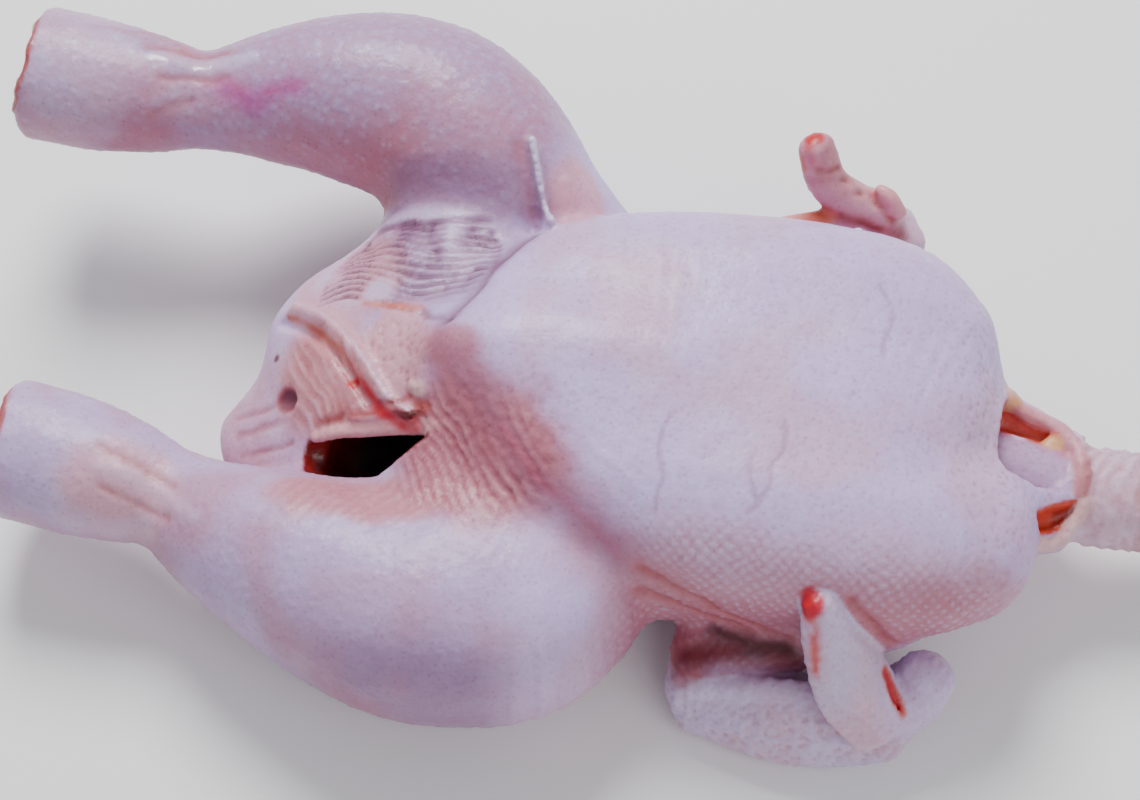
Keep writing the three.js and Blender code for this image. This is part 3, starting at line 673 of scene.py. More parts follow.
def draped(points, line):
    """The smooth curve through places in plan, laid on top of the skin."""
    plan = smooth_line(line, 4)
    under = (((points[:, :2] - place) ** 2).sum(1) < DRAPE_RADIUS ** 2 for place in plan)
    return np.column_stack([plan, [points[near, 2].max() for near in under]])


def diamonds(points, pitch, seed):
    """Rounded bumps in crossing rows, from 0 to 1, as feathers grow on a bird's flank."""
    pattern = 0.7 + 0.3 * noise(points, pitch * 2.5, seed + 2)
    for turn, across in enumerate(((0.7, 0.5, 0.5), (0.7, -0.5, -0.5))):
        phase = points @ np.array(across) / pitch + 0.6 * noise(points, pitch * 3, seed + turn)
        pattern = pattern * (0.5 + 0.5 * np.cos(2 * math.pi * phase))
    return pattern


def between(first, last, share):
    """The line a share of the way from one line to another."""
    return [tuple(a + share * (b - a) for a, b in zip(p, q)) for p, q in zip(first, last)]


# -------- skin colours

def srgb(red, green, blue):
    """A screen colour, 0 to 255, as linear light."""
    value = np.array((red, green, blue)) / 255
    return np.where(value <= 0.04045, value / 12.92, ((value + 0.055) / 1.055) ** 2.4)


LAVENDER = srgb(203, 190, 227)
PINK_SKIN = srgb(202, 176, 192)
LEG_SKIN = srgb(164, 146, 176)
WHITE_SKIN = srgb(212, 203, 226)
PALE_BUMP = srgb(202, 192, 218)
ROSE = srgb(170, 120, 132)
FLESH = srgb(206, 164, 170)
BRUISE = srgb(160, 88, 138)
PURPLE = srgb(138, 108, 134)
DARK_PURPLE = srgb(84, 50, 70)
MAROON = srgb(70, 2, 24)
BRICK = srgb(150, 84, 84)
CRIMSON = srgb(168, 34, 50)
ORANGE = srgb(188, 104, 76)
RAW_RED = srgb(184, 84, 74)
BLOOD = srgb(84, 6, 4)
# dark clotted red of the cavity and cut flesh, also laid on as painted shade under the wings
CLOT_RED_AND_SHADE = srgb(112, 34, 30)
FAT = srgb(214, 188, 188)
YELLOW_FAT = srgb(212, 178, 136)
CARTILAGE = srgb(212, 200, 208)
BLACK = np.zeros(3)
VIVIDNESS = 1.5  # the wet sheen and the skin's own glow wash colour out, so it is laid on stronger


# -------- places and lines on the skin

# Oval places on the skin, as a centre and half sizes. The near side is the bird's left.
SHARP_PLACES = {
    "breast": ((25, 0, 75), (85, 62, 45)),
    "groin": ((-73, 33, 58), (36, 21, 22)),
    "flap": ((-91, -5, 52), (20, 18, 14)),
    "tail": ((-109, -14, 30), (20, 24, 18)),
    "forearm": ((50, -83, 14), (32, 9, 11)),
    "elbow": ((19, -76, 14), (7, 10, 10)),
    "clotted_hole": ((-73, -14.5, 59.5), (2.4, 2, 3)),
    "tail_speck": ((-109, 6, 42.5), (1.3, 1.3, 1.6)),
    "red_pit": ((-83, -8, 59), (2, 1.8, 3)),
}
LOOSE_PLACES = {
    "keel_tip": ((-55, -3, 77), (9, 6, 7)),
    "vent_end": ((-65, -15.5, 61), (4, 3, 3.5)),
    "vent_corner": ((-64.5, -21, 62), (3.5, 2.5, 3)),
    "near_wing_tip": ((49.5, -62.5, 59.5), (3.6, 4.4, 4.4)),
    "far_elbow": ((42, 70, 43.5), (9, 3.5, 4)),
    "far_finger": ((43, 82, 58), (8, 8, 9)),
    "far_finger_side": ((38, 81, 57), (3, 4, 3.5)),
    "far_wing_tip": ((41, 85.5, 65), (3, 3, 4)),
    "collar_patch": ((106.5, 1.5, 43.5), (2.6, 2.4, 2.2)),
}
ROUGH_PLACES = {
    "abdomen": ((-43, -27, 66), (28, 24, 15)),
    "lap": ((-71, -1, 66), (12, 15, 13)),
    "lower_belly": ((-90, 26, 52), (20, 19, 16)),
    "web": ((-76, -42, 56), (25, 9, 10)),
    "groove": ((-26, -34, 68), (34, 13, 12)),
    "fat_nub_side": ((-61, -16.5, 65), (5, 2.5, 4)),
    "breast_front": ((72, 22, 66), (26, 30, 20)),
    "far_thigh": ((-24, 58, 61), (12, 14, 10)),
    "far_hip": ((-60, 56, 64), (30, 9, 14)),
    "far_crotch": ((-80, 49, 55), (17, 5, 8)),
    "far_ankle": ((-143, 84, 68), (16, 14, 12)),
    "far_shank_edge": ((-160, 96, 68), (24, 3, 6)),
    "far_hock": ((-181, 88, 62), (20, 26, 26)),
    "near_hock": ((-170, -30, 38), (20, 20, 22)),
    "near_ankle": ((-145, -44, 44), (20, 12, 14)),
    "near_shank": ((-148, -40, 42), (22, 14, 14)),
    "near_shank_top": ((-147, -41, 49), (17, 11, 9)),
    "armpit": ((18, -67, 24), (9, 7, 8)),
    "near_hand": ((52, -74, 46), (6, 9, 12)),
    "near_wrist": ((82, -70, 24), (13, 13, 14)),
    "near_wrist_top": ((82, -72, 28), (13, 13, 14)),
    "far_hand": ((52, 79, 52), (22, 11, 20)),
    "far_hand_middle": ((48, 79, 55), (16, 10, 14)),
}
WANDER = {"loose": (6, 1.1), "rough": (14, 5)}  # how uneven their edges are: size of lumps and reach

# Lines in plan, which are laid on the skin. The fan of wrinkles runs from between the legs into
# the far groin.
GROIN_WRINKLES = [
    [(-88, 44), (-80, 46), (-67, 45), (-50, 46)], [(-92, 39), (-82, 41), (-67, 38), (-47, 38.5)],
    [(-95, 32), (-85, 34), (-67, 29.5), (-46, 30.5)], [(-97, 25), (-87, 27), (-69, 20), (-50, 22)],
    [(-98, 18), (-87, 19), (-69.5, 12.5), (-53, 12)],
]
WRINKLES_TO_A_GAP = 3
THIGH_FOLD = [(-40.5, 69.5), (-37, 58), (-32.5, 44.5)]
THIGH_FOLD_SHADOW = [(-44, 68.5), (-40.5, 57), (-36.5, 45.5)]
VENT_RIDGE = shifted(VENT_EDGE, 0.5, 0.5)
VENT_SHADOW_LINE = [(-107.5, 17.5), (-95, 7.5), (-84, -4), (-75, -16), (-68, -20.5)]
GROOVE = [(-58, -3), (-48.5, -13), (-39, -25), (-26.5, -38), (-17.5, -44.5), (-3, -54.5)]
BREAST_EDGE = [(-38, 41), (-40.5, 37), (-45.5, 29.5), (-50, 21.5), (-54, 13), (-58, 5.5)]
ORANGE_STREAK = [(-83, 16), (-72.5, 15), (-66.5, 13.5)]
PURPLE_CREASE = [(-66, 11.5), (-61, 8.5), (-56, 7)]
CROTCH = [(-84, 47), (-75.5, 46), (-67.5, 43)]
FLAP_LINE = [(-92, -17.5), (-79.5, -17.5), (-66, -15)]
BREAST_VEINS = [
    [(38.5, -18), (38, -26), (35, -31), (34.5, -38), (29.5, -45)], [(31, -26), (30, -34), (32, -40)],
    [(7.5, -20), (5, -29), (6.5, -37), (5.5, -45)], [(62, 30), (66, 20), (64, 8)],
]
TAIL_FOLDS = [
    [(-119, -9), (-111, -9), (-104, -6)], [(-118, -15), (-110, -14), (-101, -13)],
    [(-116, -21), (-109, -21), (-101, -20)],
]
BRUISE_LINE = [(-133, 82), (-124, 79.5), (-113, 80.5)]
CALF_TENDONS = [[(-156, 88), (-142, 88), (-128, 90)], [(-150, -38), (-137, -41), (-122, -51)]]
ANKLE_CREASES = [
    [(-153, 81), (-144.5, 83.5), (-134, 84)], [(-155, 71), (-150, 74), (-144, 77.5)],
    [(-158, 92), (-147, 93), (-136, 94)], [(-150, -43), (-140, -46), (-130, -50)],
    [(-152, -32), (-141, -36), (-130, -41)],
]
WEB_FOLDS = [[(-30, 62), (-24, 54), (-16, 46)], [(-27, 68), (-20, 58), (-10, 48)]]

# Lines in space, for the places that overhang.
FLANK_FOLDS = [
    [(2.5, -55.5, 57), (11.5, -58, 52.5), (20, -59.5, 48), (26.5, -60, 41.5), (37.5, -60.5, 35),
     (45, -63, 34)],
    [(3, -58.5, 48.5), (14.5, -59, 42), (23, -59.5, 37), (34.5, -61, 32.5)],
    [(60, -60, 58.5), (66, -62, 51.5), (71.5, -63.5, 42), (77.5, -61.5, 35)],
]
VENT_END = [(-79, -10, 59.5), (-76.5, -13, 59.5), (-71.5, -18, 61), (-67.5, -21, 60.5)]
UNDERARM_SHADE = [(18, -68, 25.5), (27, -65.5, 28.5), (36, -65.5, 28.5), (47, -65.5, 28.5)]
UNDERARM_CLEFT_SHADOW = [(24, -61.5, 31), (32, -62.5, 30), (38, -63.5, 29.5), (46, -64, 30)]
FOREARM_SHADE = [(16, -69.5, 24), (22, -71, 26.5), (30, -71, 26), (38.5, -69.5, 25), (48, -68.5, 21.5)]
WING_BUMPS = [
    [(24, -75.5, 21.5), (44.5, -76, 23), (64, -77, 24)],
    [(26, -70.5, 24.5), (44.5, -71, 26), (60, -71.5, 27)],
    [(24, -82, 15), (48, -85, 16), (70, -84, 18)],
]
WING_RED_STREAK = [(48.5, -62, 60), (50.5, -67.5, 55.5), (52, -72.5, 49.5), (53, -75.5, 45)]
WING_WRINKLES = [
    [(60, -72, 50), (66, -80, 38)], [(56, -70, 54), (60, -80, 41)], [(66, -73, 44), (70, -80, 33)],
]
FAR_WING_CREASES = [
    [(44, 77, 58), (51, 81, 56)], [(45, 76, 54.5), (54, 80, 52)], [(50, 75, 50), (58, 78, 48)],
]
FAR_WING_STREAK = [(41, 85.5, 64.5), (40, 82, 63.5), (42, 79, 60)]
FAR_WING_SHADE = [(46.5, 73.5, 45.5), (52, 71.5, 44), (58, 71.5, 41), (64.5, 71.5, 38.5), (71, 71, 36)]
THUMB_LINE = [(61, 79, 46.5), (63, 75.8, 45.5), (66.5, 73.8, 42.5), (69, 73, 40)]
COLLAR_SHADE = [(100, 9, 46), (110, 4, 43), (119, 0, 42), (121, -9, 42)]

# Fine folds (height above 0) and creases (below 0), in mm: height, half width and lines.
FINE_LINES = [
    (0.7, 1.3, [THIGH_FOLD]), (-1.0, 1.6, [BREAST_EDGE]), (-0.9, 1.4, [FLAP_LINE]),
    (-0.6, 1.3, [PURPLE_CREASE, CROTCH]), (-0.8, 1.1, TAIL_FOLDS), (0.5, 2.4, CALF_TENDONS),
    (-0.5, 1.4, ANKLE_CREASES), (-0.4, 1.0, WING_WRINKLES), (-0.2, 0.7, BREAST_VEINS),
    (-0.9, 1.5, FLANK_FOLDS), (0.7, 1.4, WEB_FOLDS), (-1.2, 1.2, FAR_WING_CREASES),
    (-0.8, 1.2, [THUMB_LINE]),
]


def groin_lines():
    """All the wrinkles of the fan, the drawn ones and those between them."""
    lines = []
    for first, last in zip(GROIN_WRINKLES, GROIN_WRINKLES[1:]):
        lines += [between(first, last, step / WRINKLES_TO_A_GAP) for step in range(WRINKLES_TO_A_GAP)]
    return [*lines, GROIN_WRINKLES[-1]]


def skin_masks(points, loose, rough):
    """Where on the bird each place and kind of skin lies, from 0 to 1."""
    on = {
        name: zone(places, *oval)
        for places, ovals in ((points, SHARP_PLACES), (loose, LOOSE_PLACES), (rough, ROUGH_PLACES))
        for name, oval in ovals.items()
    }
    on["groin"] *= ramp(74, 66, points[:, 2])
    behind = ramp(-20, -42, points[:, 0])
    on["right_leg"] = near_form(points, RIGHT_LEG, 2, 3) * behind * (1 - on["groin"])
    on["left_leg"] = near_form(points, LEFT_LEG, 2, 3) * behind
    hollow = np.max([on_walls(points, form) for form in (HOLLOW, SLIT, SLIT_FLOOR)], 0)
    on["hollow"] = hollow * (1 - near_form(points, FLAP_LIP)) * (1 - near_form(points, FLAP_WEB))
    for name in ("breast", "abdomen", "lap", "flap", "groin", "web", "groove", "tail"):
        on[name] *= 1 - on["hollow"]
    wing_forms = [FOREARM_EDGE, *(piece for piece, _ in LEFT_WING[1:] + RIGHT_WING[1:])]
    on["wings"] = np.max([near_form(points, form, 1) for form in wing_forms], 0)
    on["hock_rim"] = np.max([on_walls(points, form, 1.5) for form in HOCK_SOCKETS + HOCK_SLANTS], 0)
    on["flank"] = ramp(-40, -58, rough[:, 1]) * ramp(-12, 8, points[:, 0])
    on["front"] = ramp(78, 100, rough[:, 0])
    on["neck"] = ramp(122, 126, points[:, 0])
    on["above_table"] = ramp(0.5, 6, points[:, 2])
    return on


class Skin:
    """The smooth skin: its points, and how far each lies on a place, a line or a form, 0 to 1."""

    def __init__(self, points):
        self.points, self.height = points, points[:, 2]
        self.loose, self.rough = (wandering(points, *WANDER[edge]) for edge in ("loose", "rough"))
        self.top = points[self.height > DRAPE_LEVEL]
        self.blotches = 0.5 + 0.5 * layered_noise(points, 24, seed=41)
        self.mottle = 0.5 + 0.5 * layered_noise(points, 5, seed=43)
        vars(self).update(skin_masks(points, self.loose, self.rough))
        self.legs = np.maximum(self.right_leg, self.left_leg)
        self.grain = fine_relief(self)

    def line(self, half_width, *lines, places=None):
        """Lines in plan are laid on the skin, and lines in space are taken as they are."""
        amount = np.zeros(len(self.points))
        for line in lines:
            curve = draped(self.top, line) if len(line[0]) == 2 else line
            drawn = stroke(self.loose if places is None else places, curve, half_width)
            np.maximum(amount, drawn, out=amount)
        return amount

    def form(self, form, height=0.8):
        return near_form(self.points, form, height)

    def walls(self, form, depth=1.0):
        return on_walls(self.points, form, depth)

    def crest(self, low, high):
        """1 where the fine relief is past high, 0 where it is short of low, either way up."""
        return ramp(low, high, self.grain)


def fine_relief(on):
    """How far goose bumps, wrinkles and folds stand out from the smooth skin."""
    pimples = bumps(on.points, 2.7, seed=17, width=0.38)
    meshwork = net(on.points, 2.5, seed=11) - 0.3
    fading = 0.5 + 0.5 * noise(on.points, 9, seed=19)
    belly_folds = ridges(on.loose, (0.84, 0.55, 0), 2.8, seed=39, waviness=1.1)
    fan = on.line(0.95, *groin_lines(), places=wandering(on.points, 10, 2.2))
    fan *= 0.85 + 0.25 * noise(on.points, 8, seed=45)

    grain = on.abdomen * (0.25 * meshwork + 0.5 * (belly_folds - 0.25))
    grain += 1.35 * on.groin * (0.4 - fan)
    grain += (0.45 * on.lap + 0.1 * on.breast + 0.2 * on.front + 0.6 * on.forearm) * meshwork
    grain += (0.34 * on.legs + 0.25 * on.wings + 0.5 * on.neck) * pimples
    grain += 0.55 * on.flank * diamonds(on.points, 2.6, seed=31)
    grain += 1.4 * on.hock_rim * noise(on.points, 5, seed=37)
    for amount, across, pitch, seed in [
        (1.1 * on.flap * fading, (0.87, 0.5, 0), 2.7, 23),
        (0.55 * on.groove * fading, (0.68, 0.73, 0), 4.2, 25),
        (0.6 * on.web * fading, (0.78, -0.62, 0), 3.0, 27),
        (0.9 * on.neck, (0.8, -0.5, 0.2), 3.4, 29),
        (0.4 * on.forearm * fading, (0.8, 0.4, -0.4), 4.0, 33),
        (0.7 * on.elbow, (1, 0, 0), 2.9, 35),
    ]:
        grain += amount * ridges(on.loose, across, pitch, seed)
    for line in WING_BUMPS:
        grain += 0.7 * row(on.loose, line, 5.2, 2)
    for height, half_width, lines in FINE_LINES:
        grain += height * on.line(half_width, *lines)
    return grain


# -------- painting the skin

# Each of these gives colours and how strongly they are laid on, one over another.

def breast_colours(on):
    """The whole bird's skin, then the breast and the flank."""
    yield PINK_SKIN, 0.6 * ramp(0.4, 0.75, on.blotches)
    yield PINK_SKIN, 0.9 * ramp(55, 15, on.height)
    yield PINK_SKIN, 0.8 * on.flank
    # rosier low on the flank: the skin's rosy tone, with painted shade where the flank turns under
    yield ROSE, 0.9 * on.flank * ramp(72, 50, on.rough[:, 2])
    yield LAVENDER, 0.85 * on.breast_front
    # the rose and purple laid in the troughs of the fine relief are painted shade in pores and furrows
    yield ROSE, 0.35 * on.front * on.crest(0, -0.06)
    yield PALE_BUMP, 0.45 * on.flank * on.crest(0.12, 0.4)
    yield ROSE, 0.45 * on.flank * on.crest(0.1, 0)
    yield PURPLE, 0.25 * on.breast * on.crest(0, -0.03)
    yield PURPLE, 0.25 * on.line(0.7, *BREAST_VEINS)


def leg_colours(on):
    rosy_inside = ramp(80, 62, on.rough[:, 1]) * ramp(-60, -85, on.rough[:, 0])
    yield LEG_SKIN, 0.9 * on.right_leg
    yield LEG_SKIN, 0.45 * on.left_leg
    yield ROSE, 0.95 * on.right_leg * rosy_inside
    # painted shade: purple on the near leg's low outer side, which faces away from the lamps
    yield PURPLE, 0.7 * on.left_leg * ramp(-76, -94, on.rough[:, 1])
    yield PALE_BUMP, 0.5 * on.right_leg * on.crest(0.06, 0.4) * ramp(48, 66, on.height)
    # painted shade: rose in the troughs between the far leg's goose bumps
    yield ROSE, 0.3 * on.right_leg * on.crest(0.1, 0)
    yield ROSE, 0.4 * on.legs * ramp(0.45, 0.75, on.blotches)
    yield FLESH, 0.9 * on.near_ankle * on.mottle
    yield PURPLE, 0.7 * on.far_hip * on.above_table
    # painted shade: dark purple in the recess of the far crotch
    yield DARK_PURPLE, 0.55 * on.far_crotch
    yield WHITE_SKIN, 0.35 * on.far_hock
    yield WHITE_SKIN, 0.1 * on.near_hock
    # painted light: white laid on the near shank, which lies in the lamps' shade
    yield WHITE_SKIN, 0.4 * on.near_shank
    yield FLESH, 0.55 * on.near_shank_top
    yield WHITE_SKIN, 0.3 * on.line(2.4, *CALF_TENDONS)
    yield FLESH, 0.4 * on.far_ankle * on.mottle
    # painted shade: brick red in the creases round the ankles
    yield BRICK, 0.45 * on.line(1.4, *ANKLE_CREASES)
    yield BRUISE, 0.8 * on.line(4.6, BRUISE_LINE, places=on.rough)
    yield CRIMSON, 0.25 * on.line(1.2, BRUISE_LINE) * on.mottle
    # painted shade: dark purple along the crease of the crotch
    yield DARK_PURPLE, 0.6 * on.line(1.5, CROTCH)
    yield BRICK, 0.45 * on.far_shank_edge * on.mottle


def belly_colours(on):
    """The groin, the skin round the vent, the tail, and the groove beside the near breast."""
    yield PURPLE, 0.85 * on.groin * ramp(-98, -78, on.rough[:, 0])
    yield FLESH, 0.7 * on.lower_belly * (1 - on.hollow)
    yield FLESH, 0.85 * on.web
    yield ROSE, 0.45 * on.web
    # painted shade: rose in the troughs of the web's wrinkles
    yield ROSE, 0.5 * on.web * on.crest(0.3, 0)
    # painted shade: dark purple in the troughs of the groin's wrinkles, pale on their ridges below
    yield DARK_PURPLE, 0.75 * on.groin * on.crest(0.1, -0.6)
    yield PALE_BUMP, 0.75 * on.groin * on.crest(0.25, 0.52)
    yield FLESH, 0.85 * on.lap
    # painted shade: rose in the pits of the lap
    yield ROSE, 0.7 * on.lap * on.crest(0.05, -0.1)
    yield FLESH, 0.95 * on.flap
    yield ROSE, 0.2 * on.flap * on.mottle
    # painted shade: brick in the troughs between the flap's ribs
    yield BRICK, 0.75 * on.flap * on.crest(0.3, 0.02) * on.mottle
    yield PALE_BUMP, 0.4 * on.flap * on.crest(0.25, 0.5)
    yield ROSE, 0.45 * on.tail * on.mottle
    # painted shade: brick in the troughs of the tail's folds
    yield BRICK, 0.4 * on.tail * on.crest(0, -0.5)
    yield ROSE, 0.95 * on.abdomen
    yield BRICK, 0.2 * on.abdomen
    # painted shade: brick in the pits and furrows of the abdomen
    yield BRICK, 0.4 * on.abdomen * on.crest(0.1, -0.15)
    yield FLESH, 0.6 * on.abdomen * on.crest(0.1, 0.4)
    yield BRICK, 0.6 * on.keel_tip
    # painted shade along the groove beside the near breast, over the skin's rosy tone
    yield ROSE, 0.85 * on.line(8, GROOVE, places=on.rough)
    yield BRICK, 0.4 * on.line(5, GROOVE[:4], places=on.rough)
    yield PURPLE, 0.35 * on.line(5, GROOVE)
    yield CRIMSON, 0.2 * on.line(1.5, GROOVE[2:])
    # painted shade: purple along the crease at the breast's far rear edge
    yield PURPLE, 0.6 * on.line(3, BREAST_EDGE)
    yield DARK_PURPLE, 0.5 * on.line(1.2, BREAST_EDGE)
    # painted shade: rose and brick along the folds low on the near flank
    yield ROSE, 0.6 * on.line(5, *FLANK_FOLDS)
    yield BRICK, 0.7 * on.line(1.5, *FLANK_FOLDS)


def vent_colours(on):
    """The fold on the far thigh, then the lips, pits and fat round the vent."""
    yield FLESH, 0.75 * on.far_thigh
    # painted shadow: brick red beside the thigh fold
    yield BRICK, 0.35 * on.line(1.7, THIGH_FOLD_SHADOW)
    yield WHITE_SKIN, 0.95 * on.line(1.8, THIGH_FOLD, places=on.points)
    yield ORANGE, 0.75 * on.line(1.3, ORANGE_STREAK)
    # painted shade: dark purple along the crease
    yield DARK_PURPLE, 0.6 * on.line(1.3, PURPLE_CREASE)
    yield FLESH, 0.8 * on.line(3, VENT_RIDGE)
    yield PALE_BUMP, 0.5 * on.line(1, VENT_RIDGE)
    # painted shadow under the vent's skin edge: orange and brick, crimson towards its lower end where red
    # flesh lies in the shade
    yield ORANGE, 0.95 * on.line(1.7, VENT_SHADOW_LINE)
    yield BRICK, 0.8 * on.line(0.9, VENT_SHADOW_LINE)
    yield CRIMSON, 0.95 * on.line(1.5, VENT_SHADOW_LINE[2:])
    yield BLOOD, 0.95 * on.clotted_hole
    yield BLOOD, 0.9 * on.tail_speck
    # painted shade: brick along the crease at the flap's edge
    yield BRICK, 0.95 * on.line(1.3, FLAP_LINE)
    yield BRICK, 0.6 * on.form(FLAP_WEB)
    yield FLESH, 0.9 * on.form(FLAP_LIP)
    # painted shade: brick in the notch beside the fat nub
    yield BRICK, 0.85 * on.fat_nub_side
    yield CRIMSON, 0.8 * on.line(1.8, VENT_END)
    yield CRIMSON, 0.7 * on.vent_end
    yield CRIMSON, 0.6 * on.vent_corner
    yield FAT, 0.7 * on.form(FAT_NUB)
    yield CRIMSON, on.red_pit
    # painted shade in the pit by the tail: brick on its walls, dark purple deeper in
    yield BRICK, 0.8 * on.walls(TAIL_PIT, 0.6)
    yield DARK_PURPLE, 0.7 * on.walls(TAIL_PIT, 0.1)


def wing_colours(on):
    yield WHITE_SKIN, 0.95 * on.wings
    yield PURPLE, 0.12 * on.wings * on.mottle
    yield FLESH, 0.5 * on.wings * ramp(0.35, 0.7, on.blotches)
    # pale on the tops of the wing's bumps: their paler skin with painted highlight
    yield PALE_BUMP, 0.8 * on.wings * on.crest(0.25, 0.7)
    # painted shade: purple in the troughs of the forearm's wrinkles
    yield PURPLE, 0.3 * on.forearm * on.crest(0.35, 0.1)
    yield PURPLE, 0.8 * on.line(3, FOREARM_SHADE)
    # painted shade under the near wing: brick in the armpit, dark purple and clotted red along the
    # underarm, near-black maroon in the cleft between breast and wing
    yield BRICK, 0.6 * on.armpit
    yield DARK_PURPLE, 0.85 * on.line(3.8, UNDERARM_SHADE)
    yield CLOT_RED_AND_SHADE, 0.6 * on.line(3, UNDERARM_SHADE) * ramp(0.25, 0.6, on.mottle)
    yield MAROON, on.line(2.5, UNDERARM_CLEFT_SHADOW)
    yield FLESH, 0.1 * on.near_hand
    # painted light: white laid on the near wrist, which lies in shade
    yield WHITE_SKIN, 0.7 * on.near_wrist
    yield LAVENDER, 0.3 * on.near_wrist_top
    yield RAW_RED, 0.9 * on.line(2, WING_RED_STREAK) * ramp(0.2, 0.45, on.mottle)
    yield CRIMSON, 0.95 * on.near_wing_tip
    yield ORANGE, 0.8 * on.walls(WRIST_SLIT, 0.9)
    yield CRIMSON, 0.8 * on.walls(WRIST_SLIT, 0.1)
    yield FLESH, 0.8 * on.far_hand
    yield ROSE, 0.5 * on.far_hand_middle * ramp(0.2, 0.6, on.mottle)
    yield BRICK, 0.8 * on.line(3.4, FAR_WING_SHADE)
    yield CLOT_RED_AND_SHADE, 0.8 * on.line(1.6, FAR_WING_SHADE[1:4])
    yield ORANGE, 0.8 * on.far_elbow
    yield BRICK, 0.5 * on.far_finger * on.mottle
    yield CRIMSON, 0.7 * on.line(1.7, FAR_WING_STREAK)
    yield CRIMSON, 0.95 * on.far_wing_tip
    yield ORANGE, 0.8 * on.far_finger_side
    # painted shade: brick in the creases of the far hand
    yield BRICK, 0.7 * on.line(1.4, *FAR_WING_CREASES)
    yield ORANGE, 0.4 * on.form(RIGHT_THUMB_TIP)
    yield FLESH, 0.7 * on.form(RIGHT_THUMB_TIP)
    # painted shade: brick along the crease round the far thumb
    yield BRICK, 0.95 * on.line(1.3, THUMB_LINE)
    yield FAT, 0.6 * on.form(FAR_WING_WEB) * ramp(44, 34, on.points[:, 0])


def neck_colours(on):
    yield WHITE_SKIN, 0.8 * on.neck
    yield FLESH, 0.6 * on.neck * on.mottle
    yield FAT, 0.35 * on.neck
    # painted shade: rose in the troughs of the neck's wrinkles
    yield ROSE, 0.6 * on.neck * on.crest(0.4, 0) * on.mottle
    yield BRICK, 0.8 * on.neck * ramp(138, 150, on.rough[:, 0])
    yield PURPLE, 0.4 * on.walls(COLLAR_OPENING, 0.8)
    yield RAW_RED, 0.9 * on.walls(COLLAR_OPENING, 0.8) * ramp(0, 5, on.points[:, 1])
    yield ORANGE, 0.9 * on.line(3.2, COLLAR_SHADE)
    yield FLESH, 0.85 * on.form(COLLAR_RIM)
    yield BRICK, 0.5 * on.form(COLLAR_RIM) * ramp(0.4, 0.7, on.mottle)
    yield YELLOW_FAT, 0.6 * on.form(COLLAR_FOLD)
    yield YELLOW_FAT, 0.7 * near_form(on.loose, COLLAR_FAT, 0.4)
    yield WHITE_SKIN, 0.9 * on.collar_patch
    yield RAW_RED, on.walls(NECK_WEDGE, 0.9)
    yield CLOT_RED_AND_SHADE, 0.7 * on.walls(NECK_WEDGE, 0.2) * ramp(0.4, 0.6, on.mottle)
    yield FAT, 0.9 * on.form(WEDGE_EDGE)
    yield BRICK, 0.9 * on.walls(NECK_FACE, 0.6)
    yield CARTILAGE, on.form(NECK_BONE, 0.4)
    yield BLOOD, on.walls(NECK_CANAL, 0.4)


def cut_colours(on):
    """The ends of the hocks and the walls of the hollow, with painted shade: black where it is deep."""
    yield BRICK, 0.95 * on.hock_rim
    yield RAW_RED, 0.6 * on.hock_rim * ramp(0.5, 0.7, on.mottle)
    for condyle in CONDYLES:
        yield CARTILAGE, 0.95 * on.form(condyle, 0.5)
    yield CLOT_RED_AND_SHADE, on.hollow
    yield BLOOD, on.hollow * ramp(0.35, 0.6, on.mottle)
    # painted shade: black laid deep in the hollow, where no light reaches
    deep = ramp(43, 32, on.height) * ramp(-92, -78, on.points[:, 0])
    yield BLACK, 0.9 * on.hollow * deep


def painted(on):
    """The skin's colour at each point."""
    colour = np.repeat(LAVENDER[None], len(on.points), 0)
    for region in (
        breast_colours, leg_colours, belly_colours, vent_colours, wing_colours, neck_colours, cut_colours,
    ):
        for paint, amount in region(on):
            weight = np.clip(amount, 0, 1)[:, None]
            colour = colour * (1 - weight) + paint * weight
    grey = colour @ (0.2126, 0.7152, 0.0722)
    return np.clip(grey[:, None] + VIVIDNESS * (colour - grey[:, None]), 0.002, 1)


def wetness(on):
    """How strong the clear film is: a little everywhere, and most on the far leg's beads."""
    beads = on.crest(0.15, 0.42) * ramp(60, 72, on.height)
    return np.clip(0.15 + 0.85 * on.right_leg * beads + 0.5 * on.hollow, 0, 1)


# -------- material, floor, lights and camera

def new_material(name):
    material = bpy.data.materials.new(name)
    material.use_nodes = True
    return material, material.node_tree.nodes["Principled BSDF"]


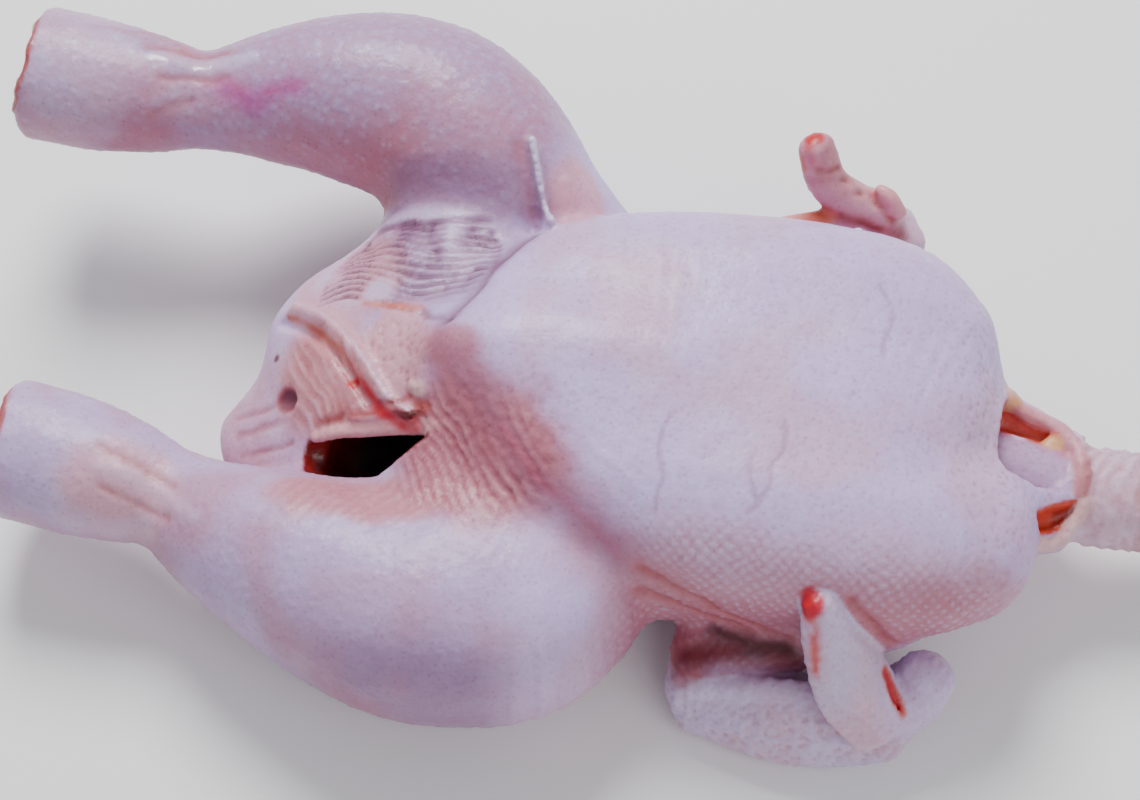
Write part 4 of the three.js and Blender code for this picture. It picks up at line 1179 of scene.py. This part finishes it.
def skin_material():
    """Wet raw skin: laid-on colour with fine mottling and pores, a glow below it and a clear film on it."""
    material, shader = new_material("raw_skin")
    nodes, links = material.node_tree.nodes, material.node_tree.links
    shader.inputs["Subsurface Weight"].default_value = 0.18
    shader.inputs["Subsurface Radius"].default_value = (1.0, 0.45, 0.35)
    shader.inputs["Subsurface Scale"].default_value = 0.003
    shader.inputs["Coat Roughness"].default_value = 0.09
    place = nodes.new("ShaderNodeTexCoord")

    def pattern(kind, size, output, detail=0):
        node = nodes.new(kind)
        node.inputs["Scale"].default_value = 1 / (size * MM)
        node.inputs["Detail"].default_value = detail
        links.new(place.outputs["Object"], node.inputs["Vector"])
        return node.outputs[output]

    def spread(value, low, high, start=0.3, end=0.7):
        """The value from start to end as one from low to high."""
        node = nodes.new("ShaderNodeMapRange")
        for name, limit in (("From Min", start), ("From Max", end), ("To Min", low), ("To Max", high)):
            node.inputs[name].default_value = limit
        links.new(value, node.inputs["Value"])
        return node.outputs["Result"]

    def stained(base, stain, amount):
        node = nodes.new("ShaderNodeMix")
        node.data_type = "RGBA"
        node.blend_type = "MULTIPLY"
        links.new(amount, node.inputs["Factor"])
        links.new(base, node.inputs["A"])
        node.inputs["B"].default_value = (*stain, 1)
        return node.outputs["Result"]

    tint = nodes.new("ShaderNodeVertexColor")
    tint.layer_name = "tint"
    wet = nodes.new("ShaderNodeAttribute")
    wet.attribute_name = "wet"
    mottle = pattern("ShaderNodeTexNoise", 7, "Fac", detail=4)
    grain = pattern("ShaderNodeTexNoise", 1.3, "Fac", detail=3)
    pores = pattern("ShaderNodeTexVoronoi", 2.3, "Distance")

    base = stained(tint.outputs["Color"], (0.86, 0.62, 0.7), spread(mottle, 0.0, 0.32))
    base = stained(base, (0.8, 0.66, 0.74), spread(grain, 0.0, 0.35))
    base = stained(base, (0.62, 0.4, 0.45), spread(pores, 0.35, 0.0, start=0.06, end=0.3))
    links.new(base, shader.inputs["Base Color"])
    links.new(spread(mottle, 0.45, 0.62), shader.inputs["Roughness"])
    links.new(wet.outputs["Fac"], shader.inputs["Coat Weight"])

    bump = nodes.new("ShaderNodeBump")
    bump.inputs["Strength"].default_value = 0.5
    bump.inputs["Distance"].default_value = 0.3 * MM
    links.new(grain, bump.inputs["Height"])
    links.new(bump.outputs["Normal"], shader.inputs["Normal"])
    links.new(bump.outputs["Normal"], shader.inputs["Coat Normal"])
    return material


def add_object(name, data):
    made = bpy.data.objects.new(name, data)
    bpy.context.scene.collection.objects.link(made)
    return made


def add_facing(name, data, place, target):
    """A lamp or a camera at a place, turned to face its target."""
    made = add_object(name, data)
    made.location = place
    made.rotation_euler = (Vector(place) - Vector(target)).to_track_quat("Z", "Y").to_euler()
    return made


def add_skin():
    points, quads = build_skin()
    skin = Skin(points)
    lumps = 0.45 * layered_noise(points, 26, seed=1) + 0.2 * layered_noise(points, 8, seed=3)
    relief = (lumps + skin.grain) * skin.above_table
    points = points + vertex_normals(points, quads) * relief[:, None]
    colour = np.column_stack([painted(skin), np.ones(len(points))])

    mesh = bpy.data.meshes.new("raw_skin")
    mesh.from_pydata((points * MM).tolist(), [], quads.tolist())
    mesh.color_attributes.new("tint", "FLOAT_COLOR", "POINT").data.foreach_set("color", colour.ravel())
    mesh.attributes.new("wet", "FLOAT", "POINT").data.foreach_set("value", wetness(skin))
    mesh.shade_smooth()
    mesh.materials.append(skin_material())
    bird = add_object("raw_skin", mesh)
    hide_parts("chicken")
    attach(bird, "root")


def add_floor():
    bpy.ops.mesh.primitive_plane_add(size=6)
    floor = bpy.context.object
    floor.name = "floor"
    material, shader = new_material("floor")
    shader.inputs["Base Color"].default_value = (0.94, 0.94, 0.95, 1)
    shader.inputs["Roughness"].default_value = 0.7
    floor.data.materials.append(material)


def add_light(name, place, size, power):
    """A round soft light that faces the bird."""
    data = bpy.data.lights.new(name, "AREA")
    data.shape = "DISK"
    data.size = size
    data.energy = power
    add_facing(name, data, place, LIT_POINT)


def add_lights():
    add_light("key", (-0.25, 0.85, 1.15), size=0.7, power=27)
    add_light("fill", (0.7, -0.8, 1.0), size=1.2, power=6.5)
    world = bpy.data.worlds.new("studio")
    world.use_nodes = True
    background = world.node_tree.nodes["Background"]
    background.inputs["Color"].default_value = (0.95, 0.97, 1, 1)
    background.inputs["Strength"].default_value = 0.44
    bpy.context.scene.world = world


def add_camera():
    azimuth, elevation = math.radians(CAMERA_AZIMUTH), math.radians(CAMERA_ELEVATION)
    level = math.cos(elevation)
    back = Vector((math.sin(azimuth) * level, -math.cos(azimuth) * level, math.sin(elevation)))
    data = bpy.data.cameras.new("camera")
    data.lens = CAMERA_LENS
    place = Vector(CAMERA_TARGET) + back * CAMERA_DISTANCE
    bpy.context.scene.camera = add_facing("camera", data, place, CAMERA_TARGET)


add_camera()
add_skin()
add_floor()
add_lights()
